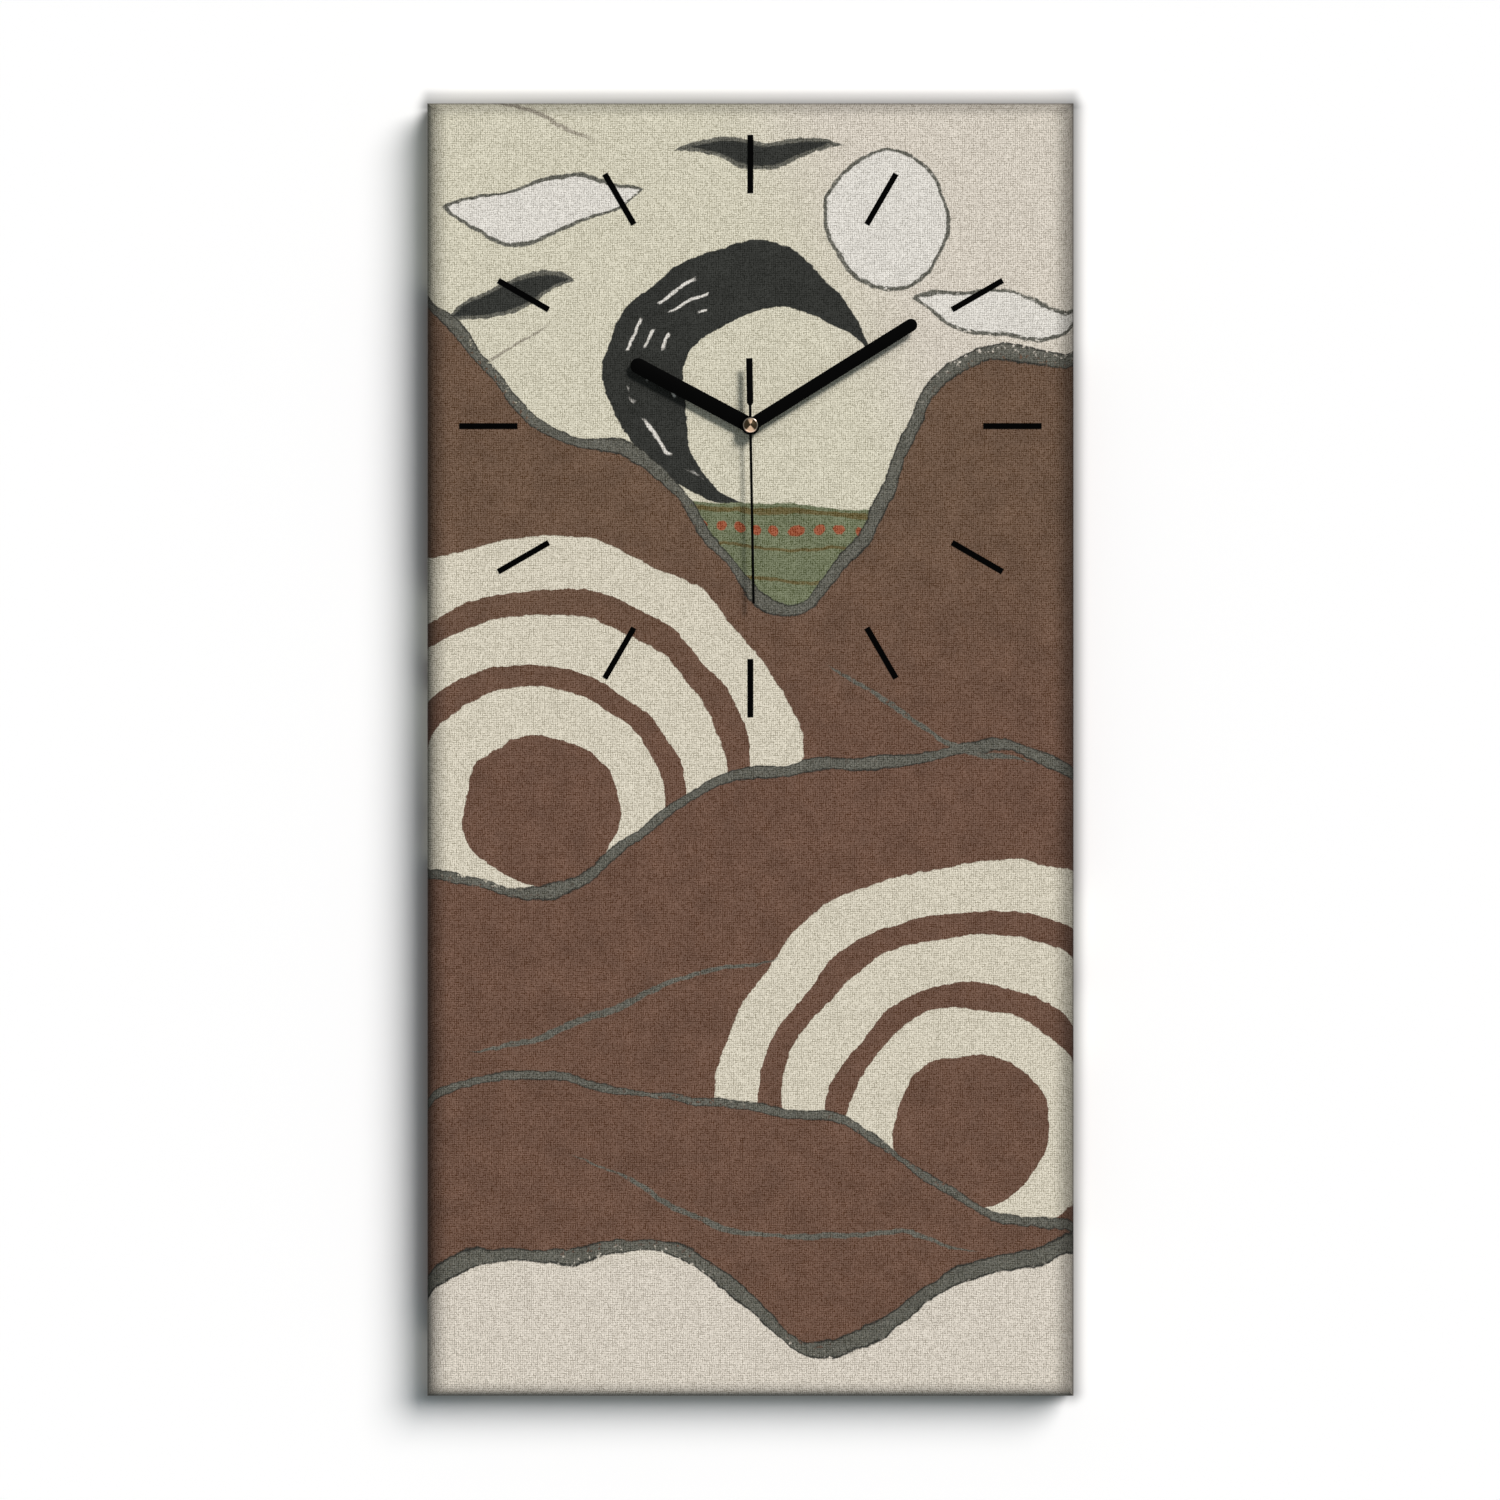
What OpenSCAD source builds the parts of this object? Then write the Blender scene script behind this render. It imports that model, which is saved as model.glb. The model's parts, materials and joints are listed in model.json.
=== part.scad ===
// Wall clock on a stretched canvas, with a battery quartz movement behind it.
// Millimetres. X runs to the right, Z up, and the dial looks towards -Y.
// The origin is the middle notch of the hanger, at the wall.

/* [Canvas] */
// Width of the canvas
canvas_w = 300; // [290:5:400]
// Height of the canvas
canvas_h = 600; // [480:10:800]
// Thickness of the cloth
canvas_t = 0.5; // [0.3:0.1:0.8]
// Width of the cloth turned over onto the back
flap_w = 22; // [19:1:25]
// Leg of the triangle that a folded corner makes on the back
fold_w = 24; // [16:1:26]

/* [Frame] */
// Width of a frame bar
bar_w = 28; // [27:1:40]
// Depth of a frame bar
bar_depth = 18; // [18:0.5:30]
// Thickness of the front panel
panel_t = 3; // [3:0.5:6]
// Radius of the panel's front edges, which the cloth rolls over
edge_r = 3; // [1:0.5:3]
// Length of one arm of a corner nail
corner_nail_arm = 5; // [4:0.5:7]
// Thickness of a corner nail
corner_nail_t = 0.5; // [0.4:0.1:0.8]
// How deep a corner nail goes into the bars
corner_nail_depth = 8; // [6:0.5:12]

/* [Staples] */
// Number of staples along a stile
stile_staples = 9; // [5:1:9]
// Number of staples along a rail
rail_staples = 4; // [2:2:4]
// Distance from a corner of the canvas to the nearest staple on each side
corner_staple = 52; // [50:1:60]
// Width of a staple over its crown
staple_w = 10; // [8:0.5:12]
// Thickness of a staple's wire
staple_t = 0.6; // [0.5:0.1:0.9]
// Length of a staple's leg
staple_leg = 8; // [6:0.5:10]

/* [Hanger] */
// Hanger notch below the top edge
hanger_drop = 14; // [12:0.5:15]
// Length of the sawtooth hanger
hanger_len = 45; // [40:1:48]
// Height of the hanger above its notches
hanger_h = 9; // [8:0.5:10]
// Thickness of the hanger's steel
hanger_t = 0.8; // [0.6:0.1:0.8]
// Length of the flat foot at each end
hanger_foot = 8; // [7:0.5:10]
// Distance between the hanger's teeth
tooth_pitch = 3; // [2.5:0.5:4]
// Height of the hanger's teeth
tooth_h = 1.5; // [1:0.1:2]
// Radius of a hanger screw's shank
screw_r = 1.1; // [0.9:0.1:1.3]
// Radius of a hanger screw's head
screw_head_r = 2.6; // [2.2:0.1:3]
// Thickness of a hanger screw's head
screw_head_t = 0.8; // [0.6:0.1:1]
// Length of a hanger screw under its head
screw_len = 12; // [8:0.5:15]

/* [Wall bumpers] */
// Radius of a wall bumper
bumper_r = 5; // [4:0.5:6]
// Thickness of a wall bumper
bumper_t = 2; // [2:0.25:4]
// Bumper centre in from the side edge
bumper_in_x = 30; // [28:1:34]
// Bumper centre up from the bottom edge
bumper_in_z = 13; // [10:0.5:14]

/* [Dial] */
// Dial centre below the top edge
dial_drop = 150; // [145:5:200]
// Inner end of an hour mark, from the dial centre
mark_in = 108; // [95:1:112]
// Length of an hour mark
mark_len = 27; // [15:1:30]
// Width of an hour mark
mark_w = 2.65; // [2:0.05:5]
// Thickness of an hour mark
mark_t = 0.2; // [0.1:0.05:0.4]

/* [Hands] */
// Hour hand from the centre to its tip
hour_hand_len = 62.5; // [50:0.5:75]
// Minute hand from the centre to its tip
minute_hand_len = 90.5; // [78:0.5:105]
// Second hand from the centre to its tip
second_hand_len = 82.5; // [70:0.5:105]
// Width of the hour hand
hour_hand_w = 7.2; // [4:0.1:7.5]
// Width of the minute hand
minute_hand_w = 5.9; // [4:0.1:7]
// Width of the second hand's needle
needle_w = 1.25; // [1:0.05:2]
// Second hand's tail from the centre to its end
tail_len = 31; // [22:0.2:36]
// Width of the second hand's tail
tail_w = 3; // [2:0.1:4]
// Where the tail reaches its full width, from the centre
tail_from = 10.3; // [8:0.1:14]
// Length of the shoulder over which the tail widens
shoulder_len = 1.2; // [0.5:0.1:3]
// Thickness of the hour and minute hands
hand_t = 0.5; // [0.3:0.05:0.7]
// Thickness of the second hand
needle_t = 0.4; // [0.3:0.05:0.5]
// Radius of the hour hand's round middle
hub_r = 4.25; // [4:0.05:5]
// Step by which each hand's round middle is smaller than the one behind it
hub_step = 0.1; // [0.05:0.05:0.15]
// Back of the hour hand above the canvas
hand_rise = 3.2; // [1.8:0.1:4]
// Free space between two hands
hand_space = 1.4; // [1.4:0.1:3]
// Length of a hand's collet
collet_len = 0.8; // [0.6:0.1:1]
// Wall of a hand's collet
collet_wall = 0.7; // [0.5:0.1:0.9]
// Radius of the turned cap
cap_r = 3.45; // [3:0.05:3.8]
// Thickness of the turned cap
cap_t = 1.4; // [1:0.1:2.5]
// Chamfer round the cap's front
cap_chamfer = 0.4; // [0.2:0.05:0.6]
// Hour hand at rest, clockwise from twelve
hour_angle = 298; // [0:1:359]
// Minute hand at rest, clockwise from twelve
minute_angle = 58; // [0:1:359]
// Second hand at rest, clockwise from twelve
second_angle = 179; // [0:1:359]

/* [Movement case] */
// Side of the square case
case_side = 56; // [56:0.5:62]
// Depth of the case
case_depth = 16; // [16:0.25:17]
// Wall of the case
case_wall = 1; // [0.8:0.1:1]
// Radius of the case's corners
case_corner_r = 3; // [1:0.5:4]
// Thickness of the foam pad that holds the case to the panel
pad_t = 1; // [0.5:0.25:1.25]
// Margin of the foam pad inside the case's outline
pad_margin = 3; // [1:0.5:6]
// Outer radius of the bush
bush_r = 3.7; // [3.5:0.05:3.8]
// How far the bush stands out of the canvas
bush_out = 0.6; // [0.2:0.1:0.8]
// Depth of the lid's rim inside the case
rim_depth = 1.2; // [0.8:0.1:1.5]
// Thickness of the gear bridge
bridge_t = 1.2; // [1:0.1:1.4]
// Radius of a bridge pillar
pillar_r = 1.5; // [1.3:0.1:1.6]

/* [Arbors and tubes] */
// Radius of the second shaft
second_shaft_r = 0.6; // [0.5:0.02:0.64]
// Outer radius of the minute tube
minute_tube_r = 1.3; // [1.2:0.02:1.34]
// Outer radius of the hour tube
hour_tube_r = 2.3; // [2:0.05:2.5]
// Radius of an arbor
arbor_r = 0.6; // [0.5:0.02:0.62]
// Radius of an arbor's pivots
pivot_r = 0.4; // [0.3:0.02:0.45]
// Radius of the stud that the motion wheel turns on
stud_r = 0.75; // [0.6:0.02:0.78]
// Radius of a bearing post
post_r = 1.2; // [1:0.05:1.3]
// Third arbor from the dial axis
third_a = 10.8; // [10.7:0.05:10.9]
// Intermediate arbor from the dial axis
inter_a = 10.85; // [10.75:0.05:10.95]
// Rotor from the intermediate arbor
rotor_a = 9; // [8.8:0.05:9.1]
// Motion wheel's stud from the dial axis
motion_a = 8.4; // [8.2:0.05:8.5]

/* [Wheels] */
// Thickness of a wheel
wheel_t = 1; // [0.8:0.05:1.05]
// Free depth between two wheels
layer_gap = 0.4; // [0.35:0.01:0.42]
// Play between meshing teeth, along the pitch circle
gear_play = 0.09; // [0.06:0.01:0.12]
// Radius of the holes that lighten a wheel
light_r = 1.3; // [0.8:0.1:1.5]

/* [Motor] */
// Radius of the rotor's magnet
magnet_r = 2.5; // [2.2:0.05:2.6]
// Length of the rotor's magnet
magnet_len = 3; // [2.4:0.1:3.2]
// Air gap round the magnet
air_gap = 0.4; // [0.3:0.05:0.5]
// Width of the stator round the magnet
stator_ring = 1.1; // [0.9:0.1:1.2]
// Width of the stator's bars
stator_w = 3.5; // [3:0.1:3.6]
// Thickness of the stator and the coil core
stator_t = 0.8; // [0.6:0.05:0.9]
// Width of the coil's core
core_w = 3; // [2.4:0.1:3.2]
// Outer radius of the coil winding
winding_r = 3.5; // [3:0.1:3.6]
// Radius of the bobbin's flanges
flange_r = 3.9; // [3.7:0.1:4.1]
// Thickness of the bobbin's flanges
flange_t = 0.8; // [0.6:0.1:1]

/* [Circuit] */
// Width of the circuit board
board_w = 19; // [18:0.25:19.5]
// Height of the circuit board
board_h = 11; // [10:0.5:11.5]
// Thickness of the circuit board
board_t = 1; // [0.8:0.1:1.2]
// Radius of the chip's cover
chip_r = 2.6; // [2:0.1:3]
// Radius of the quartz crystal's can
crystal_r = 1; // [0.8:0.1:1.2]
// Length of the quartz crystal's can
crystal_len = 6; // [5:0.5:6.5]

/* [Battery] */
// Length of the battery over its tip
battery_len = 50.5; // [49.5:0.1:50.5]
// Radius of the battery over its sleeve
battery_r = 7.1; // [6.95:0.05:7.15]
// Radius of the battery's tip
tip_r = 2.75; // [2.5:0.05:2.9]
// Length of the battery's tip
tip_len = 1.1; // [1:0.1:1.4]
// Thickness of the sleeve
sleeve_t = 0.12; // [0.1:0.01:0.2]
// Free space round the battery in its bay
bay_clear = 0.3; // [0.2:0.05:0.35]
// Thickness of the contacts' sheet
contact_t = 0.3; // [0.2:0.05:0.4]
// Width of the contacts' strips
strip_w = 4; // [3:0.5:5]

/* [Setting knob] */
// Setting stem from the motion wheel's stud
stem_dir = -20; // [-24:1:-14]
// Radius of the setting stem
stem_r = 1; // [0.8:0.05:1.1]
// Radius of the setting knob
knob_r = 4.2; // [3.5:0.1:4.4]
// How far the knob stands out of the case back
knob_out = 1.5; // [1:0.1:1.75]
// Depth of the well that the knob sits in
well_depth = 1.5; // [1:0.1:2]
// Number of grooves round the knob
knob_grooves = 20; // [12:1:28]
// Radius of a groove
groove_r = 0.35; // [0.2:0.05:0.45]

/* [Clearances] */
// Radial play of a shaft in its bearing
run_gap = 0.05; // [0.03:0.01:0.08]
// Radial play of a pressed or driven piece
press_gap = 0.02; // [0.01:0.005:0.03]
// Free space between still pieces and round the knob
free_gap = 0.3; // [0.25:0.05:0.4]
// Gap between the bush and the hole in the canvas
bush_gap = 0.15; // [0.1:0.05:0.2]

/* [Hidden] */
$fn = 64;
eps = 0.01;

// The tooth counts give sixty to one from second to minute and twelve to one from minute to hour
rotor_teeth = 12;
inter_wheel_teeth = 60;
inter_pinion_teeth = 10;
second_wheel_teeth = 60;
second_pinion_teeth = 8;
third_wheel_teeth = 64;
third_pinion_teeth = 8;
centre_wheel_teeth = 60;
cannon_teeth = 12;
motion_wheel_teeth = 36;
motion_pinion_teeth = 10;
hour_wheel_teeth = 40;
setting_teeth = 12;

// Tooth heights in modules, and the number of straight steps on a curved flank
wheel_addendum = 1;
wheel_dedendum = 1.3;
pinion_addendum = 0.8;
pinion_dedendum = 1.5;
flank_steps = 2;

// Ring of the holes that lighten a wheel, as a share of the pitch radius
light_ring = 0.6;

// Depths, from the wall forward
frame_back_y = -bumper_t;
bar_back_y = frame_back_y - canvas_t;
panel_back_y = bar_back_y - bar_depth;
panel_front_y = panel_back_y - panel_t;
canvas_front_y = panel_front_y - canvas_t;
case_front_y = panel_back_y + pad_t;
floor_y = case_front_y + case_wall;
case_back_y = case_front_y + case_depth;
lid_y = case_back_y - case_wall;

// Heights, from the hanger's notch
top_z = hanger_drop;
bottom_z = top_z - canvas_h;
mid_z = top_z - canvas_h / 2;
dial_z = top_z - dial_drop;

// The wood inside the cloth
wood_w = canvas_w - 2 * canvas_t;
wood_h = canvas_h - 2 * canvas_t;

// Faces of the hands that look back
hour_hand_y = canvas_front_y - hand_rise;
minute_hand_y = hour_hand_y - hand_t - hand_space;
second_hand_y = minute_hand_y - hand_t - hand_space;
cap_y = second_hand_y - needle_t;
tube_past = 0.3;
hour_tube_end = hour_hand_y - hand_t - tube_past;
minute_tube_end = minute_hand_y - hand_t - tube_past;
second_shaft_end = cap_y - tube_past;

// Depths of the wheels behind the case's floor
pinion_over = 0.15;
hour_d = layer_gap;
motion_d = hour_d + wheel_t + layer_gap;
centre_d = motion_d + wheel_t + layer_gap;
third_d = centre_d + wheel_t + layer_gap;
second_d = third_d + wheel_t + layer_gap;
inter_d = second_d + wheel_t + layer_gap;
bridge_d = inter_d + wheel_t + 2 * layer_gap;
stator_d = 4.4;
core_d = stator_d + stator_t;
coil_axis_d = core_d + stator_t / 2;
magnet_d = stator_d + stator_t / 2 - magnet_len / 2;
board_d = 7;
pivot_past = 0.2;

// Places in the case, across the dial axis
inner = case_side / 2 - case_wall;
bay_h = 2 * (battery_r + bay_clear);
bay_top = -inner + bay_h;
works_bottom = bay_top + case_wall;
third_dir = 30;
inter_dir = 150;
rotor_dir = 120;
motion_dir = -25;
axis_p = [0, 0];
third_p = third_a * [cos(third_dir), sin(third_dir)];
inter_p = inter_a * [cos(inter_dir), sin(inter_dir)];
rotor_p = inter_p + rotor_a * [cos(rotor_dir), sin(rotor_dir)];
motion_p = motion_a * [cos(motion_dir), sin(motion_dir)];
stem_p = motion_p + motion_a * [cos(stem_dir), sin(stem_dir)];
pillar_left = -19.5;
pillar_right = 21.5;
pillar_low = -8.5;
pillar_high = 7.5;
pillars = [
    [pillar_left, pillar_low], [pillar_left, pillar_high],
    [pillar_right, pillar_high], [pillar_right, pillar_low]
];
spigot_r = 0.8;
least_corner_r = 0.5;

// The yoke runs down from both ends of the core and across the rotor
yoke_left = -24.5;
yoke_right = -0.8;
yoke_low = rotor_p[1] - stator_w / 2;
coil_z = 21.6;
yoke_high = coil_z + core_w / 2;
peg_left = yoke_left + stator_w / 2;
peg_right = yoke_right - stator_w / 2;
coil_left = yoke_left + stator_w + free_gap;
coil_right = yoke_right - stator_w - free_gap;
bobbin_wall = 0.5;
bobbin_tube_r = sqrt(core_w * core_w + stator_t * stator_t) / 2 + bobbin_wall;
hole_r = magnet_r + air_gap;

// The board, its three posts, its chip and the left end of its crystal
board_left = 6.5;
board_low = 14.5;
post_in_x = 2.2;
post_in_z = 2;
board_posts = [
    [board_left + post_in_x, board_low + board_h - post_in_z],
    [board_left + board_w - post_in_x, board_low + board_h - post_in_z],
    [board_left + board_w - post_in_x, board_low + post_in_z]
];
chip_p = [board_left + 5.7, board_low + 4.4];
crystal_p = [board_left + 9, board_low + 4.4];

// The tabs by which the contacts' strips are soldered to the board
tab_w = 2;
positive_tab_z = board_low + 4;
negative_tab_x = board_left + 5;

// Modules of the teeth, from the distances between the arbors
rotor_m = 2 * rotor_a / (rotor_teeth + inter_wheel_teeth);
inter_m = 2 * inter_a / (inter_pinion_teeth + second_wheel_teeth);
second_m = 2 * third_a / (second_pinion_teeth + third_wheel_teeth);
third_m = 2 * third_a / (third_pinion_teeth + centre_wheel_teeth);
motion_m = 2 * motion_a / (cannon_teeth + motion_wheel_teeth);
hour_m = 2 * motion_a / (motion_pinion_teeth + hour_wheel_teeth);

// Angle at which a wheel meshes with one of n1 teeth that stands at a1 and lies opposite dir
function meshed(a1, n1, n2, dir) = dir + 180 + 180 / n2 - (a1 - dir) * n1 / n2;

// Angles of the teeth, counterclockwise from the right, so that every pair is in mesh
second_wheel_a = 0;
inter_pinion_a = meshed(second_wheel_a, second_wheel_teeth, inter_pinion_teeth, inter_dir);
inter_wheel_a = inter_pinion_a;
rotor_pinion_a = meshed(inter_wheel_a, inter_wheel_teeth, rotor_teeth, rotor_dir);
second_pinion_a = second_wheel_a;
third_wheel_a = meshed(second_pinion_a, second_pinion_teeth, third_wheel_teeth, third_dir);
third_pinion_a = third_wheel_a;
centre_wheel_a = meshed(third_pinion_a, third_pinion_teeth, centre_wheel_teeth, third_dir + 180);
cannon_a = centre_wheel_a;
motion_wheel_a = meshed(cannon_a, cannon_teeth, motion_wheel_teeth, motion_dir);
motion_pinion_a = motion_wheel_a;
hour_wheel_a = meshed(motion_pinion_a, motion_pinion_teeth, hour_wheel_teeth, motion_dir + 180);
setting_a = meshed(motion_wheel_a, motion_wheel_teeth, setting_teeth, stem_dir);

battery_right = inner - contact_t;
battery_left = battery_right - battery_len;
battery_z = -inner + battery_r + bay_clear;
battery_y = floor_y + bay_clear + battery_r;
strip_d = 5;

knob_y = case_back_y - well_depth + free_gap;
knob_end_y = case_back_y + knob_out;
well_r = knob_r + 2 * free_gap;

// Extrudes a drawing of the front view, from depth y forward by t
module slab(y, t) {
    translate([0, y, 0]) rotate([90, 0, 0]) linear_extrude(height = t) children();
}

// Extrudes a drawing centred on the dial, from depth y forward by t
module dial_slab(y, t) {
    translate([0, 0, dial_z]) slab(y, t) children();
}

// Extrudes a drawing centred on the dial, between two depths behind the case's floor
module layer(d0, d1) {
    dial_slab(floor_y + d1, d1 - d0) children();
}

// A round rod at place p between two depths behind the case's floor
module rod(p, r, d0, d1) {
    layer(d0, d1) translate(p) circle(r);
}

// A rectangle from its low corner to its high corner
module area(low, high) {
    translate(low) square(high - low);
}

// A block with its four front edges rolled over by r: the meeting of a plan and a side view
module rolled_block(w, h, back_y, front_y, r) {
    intersection() {
        translate([0, 0, mid_z - h / 2])
            linear_extrude(height = h) rolled_outline(w, back_y, front_y, r);
        translate([w / 2, 0, mid_z]) rotate([0, -90, 0])
            linear_extrude(height = w) rolled_outline(h, back_y, front_y, r);
    }
}

// Outline of such a block, seen along one of its sides
module rolled_outline(w, back_y, front_y, r) {
    area([-w / 2, front_y + r], [w / 2, back_y]);
    area([-w / 2 + r, front_y], [w / 2 - r, back_y]);
    for (side = [-1, 1])
        translate([side * (w / 2 - r), front_y + r]) circle(r);
}

// A point of a tooth's flank: i = -1 is its root, and 0 to flank_steps run out along the curve
// that a circle of radius roll_r draws as it rolls on the pitch circle
function flank_point(i, pitch_r, roll_r, root_r, swing) =
    let (turn = swing * i / flank_steps, reach = pitch_r + roll_r)
    i < 0 ? [root_r, 0]
        : reach * [cos(turn), sin(turn)]
            - roll_r * [cos(turn * reach / roll_r), sin(turn * reach / roll_r)];

// How far the rolling circle turns round the wheel until it reaches the tip circle
function tip_swing(pitch_r, roll_r, tip_r) =
    let (reach = pitch_r + roll_r)
    acos((reach * reach + roll_r * roll_r - tip_r * tip_r) / (2 * reach * roll_r))
        * roll_r / pitch_r;

function turned(p, a) = [p[0] * cos(a) - p[1] * sin(a), p[0] * sin(a) + p[1] * cos(a)];

// Outline of a clock wheel or pinion with n teeth, made for a mate with n_mate teeth
function tooth_outline(n, n_mate, m) =
    let (
        pitch_r = m * n / 2,
        roll_r = m * n_mate / 4,
        tip_r = pitch_r + m * (n > n_mate ? wheel_addendum : pinion_addendum),
        root_r = pitch_r - m * (n > n_mate ? wheel_dedendum : pinion_dedendum),
        half = 90 / n - gear_play / pitch_r * 90 / PI,
        swing = tip_swing(pitch_r, roll_r, tip_r)
    )
    [
        for (t = [0 : n - 1], side = [-1, 1], j = [0 : flank_steps + 1])
            let (
                i = side < 0 ? j - 1 : flank_steps - j,
                p = flank_point(i, pitch_r, roll_r, root_r, swing)
            )
            turned([p[0], -side * p[1]], 360 * t / n + side * half)
    ];

// A toothed drawing at place p, turned by a, with a round bore unless it is on its own arbor
module toothed(p, n, n_mate, m, a, bore_r = 0) {
    translate(p) difference() {
        rotate(a) polygon(tooth_outline(n, n_mate, m));
        if (bore_r > 0) circle(bore_r);
    }
}

// The same with a ring of four holes that lighten the wheel
module light_wheel(p, n, n_mate, m, a, bore_r = 0) {
    difference() {
        toothed(p, n, n_mate, m, a, bore_r);
        for (k = [0 : 3])
            translate(p) rotate(a + 45 + 90 * k)
                translate([m * n / 2 * light_ring, 0]) circle(light_r);
    }
}

// Places of the staples: position across and up, and the turn of the crown
staple_in = flap_w / 2;
rail_pitch = (canvas_w - 2 * corner_staple) / (rail_staples - 1);
stile_pitch = (canvas_h - 2 * corner_staple) / (stile_staples - 1);
rail_places = [
    for (z = [top_z - staple_in, bottom_z + staple_in], i = [0 : rail_staples - 1])
        [(i - (rail_staples - 1) / 2) * rail_pitch, z, 0]
];
stile_places = [
    for (side = [-1, 1], i = [0 : stile_staples - 1])
        [
            side * (canvas_w / 2 - staple_in),
            mid_z + (i - (stile_staples - 1) / 2) * stile_pitch,
            90
        ]
];

// The legs of every staple, grown by g
module staple_legs(g) {
    for (place = concat(rail_places, stile_places), side = [-1, 1])
        translate([place[0], frame_back_y, place[1]])
            rotate([0, place[2], 0])
            translate([side * (staple_w - staple_t) / 2, -staple_leg / 2, 0])
            cube([staple_t + 2 * g, staple_leg + 2 * g, staple_t + 2 * g], center = true);
}

module staple_crowns() {
    for (place = concat(rail_places, stile_places))
        translate([place[0], frame_back_y + staple_t / 2, place[1]])
            rotate([0, place[2], 0])
            cube([staple_w, staple_t, staple_t], center = true);
}

// The corner nails, grown by g: a bent strip across each mitre, its point to the corner
module corner_nail_shapes(g) {
    for (sx = [-1, 1], sz = [-1, 1])
        translate([
            sx * (wood_w / 2 - bar_w / 2), 0, mid_z + sz * (wood_h / 2 - bar_w / 2)
        ])
            slab(bar_back_y + g, corner_nail_depth + 2 * g)
            scale([sx, sz])
            for (a = [0, 90])
                rotate(180 + a) translate([-corner_nail_t / 2 - g, -corner_nail_t / 2 - g])
                    square([corner_nail_arm + 2 * g, corner_nail_t + 2 * g]);
}

// The hanger screws' shanks, grown by g
module screw_shanks(g) {
    for (side = [-1, 1])
        translate([side * (hanger_len - hanger_foot) / 2, 0, hanger_h / 2])
            slab(frame_back_y + hanger_t, screw_len) circle(screw_r + g);
}

module canvas_wrap() {
    color([0.78, 0.74, 0.65]) {
        difference() {
            rolled_block(canvas_w, canvas_h, frame_back_y, canvas_front_y, edge_r + canvas_t);
            rolled_block(wood_w, wood_h, bar_back_y, panel_front_y, edge_r);
            translate([0, 0, mid_z]) slab(frame_back_y + eps, canvas_t + 2 * eps)
                square([canvas_w - 2 * flap_w, canvas_h - 2 * flap_w], center = true);
            dial_slab(panel_front_y + eps, canvas_t + 2 * eps) circle(bush_r + bush_gap);
            staple_legs(press_gap);
            screw_shanks(press_gap);
        }
        for (sx = [-1, 1], sz = [-1, 1])
            translate([sx * canvas_w / 2, 0, mid_z + sz * canvas_h / 2])
                slab(frame_back_y + 2 * canvas_t, 2 * canvas_t)
                scale([-sx, -sz]) polygon([[0, 0], [fold_w, 0], [0, fold_w]]);
    }
}

module front_panel() {
    color([0.47, 0.33, 0.22]) difference() {
        intersection() {
            rolled_block(wood_w, wood_h, bar_back_y, panel_front_y, edge_r);
            translate([0, 0, mid_z]) slab(panel_back_y, panel_t + eps)
                square([canvas_w, canvas_h], center = true);
        }
        dial_slab(panel_back_y + eps, panel_t + 2 * eps) circle(bush_r + 2 * bush_gap);
    }
}

// A frame bar from its outline in the front view, cut for the staples, nails and screws
module bar(outline) {
    color([0.82, 0.67, 0.46]) difference() {
        translate([0, 0, mid_z]) slab(bar_back_y, bar_depth) polygon(outline);
        staple_legs(press_gap);
        corner_nail_shapes(press_gap);
        screw_shanks(press_gap);
    }
}

// Outlines of the bars, mitred at both ends: side is -1 or 1 for left or right, bottom or top
function stile_outline(side) = [
    [side * wood_w / 2, -wood_h / 2],
    [side * wood_w / 2, wood_h / 2],
    [side * (wood_w / 2 - bar_w), wood_h / 2 - bar_w],
    [side * (wood_w / 2 - bar_w), -wood_h / 2 + bar_w]
];
function rail_outline(side) = [
    [-wood_w / 2, side * wood_h / 2],
    [wood_w / 2, side * wood_h / 2],
    [wood_w / 2 - bar_w, side * (wood_h / 2 - bar_w)],
    [-wood_w / 2 + bar_w, side * (wood_h / 2 - bar_w)]
];

module stile_left() { bar(stile_outline(-1)); }
module stile_right() { bar(stile_outline(1)); }
module rail_top() { bar(rail_outline(1)); }
module rail_bottom() { bar(rail_outline(-1)); }

module corner_nails() {
    color([0.6, 0.6, 0.62]) corner_nail_shapes(0);
}

module canvas_staples() {
    color([0.68, 0.68, 0.7]) {
        staple_legs(0);
        staple_crowns();
    }
}

// Two flat feet on the back, and between them a raised strip with teeth along its low edge
module hanger_plate() {
    half = hanger_len / 2;
    rise_x = half - hanger_foot;
    teeth = floor((rise_x - hanger_t) / tooth_pitch);
    color([0.78, 0.72, 0.5]) {
        for (side = [-1, 1]) {
            difference() {
                slab(frame_back_y + hanger_t, hanger_t) scale([side, 1])
                    area([rise_x, 0], [half, hanger_h]);
                screw_shanks(press_gap);
            }
            slab(frame_back_y + 2 * hanger_t, 2 * hanger_t) scale([side, 1])
                area([rise_x, 0], [rise_x + hanger_t, hanger_h]);
        }
        slab(frame_back_y + 2 * hanger_t, hanger_t) {
            area([-rise_x, 0], [rise_x, hanger_h]);
            for (k = [-teeth : teeth - 1])
                translate([(k + 0.5) * tooth_pitch, 0])
                    polygon([[-tooth_pitch / 2, 0], [0, -tooth_h], [tooth_pitch / 2, 0]]);
        }
    }
}

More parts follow.
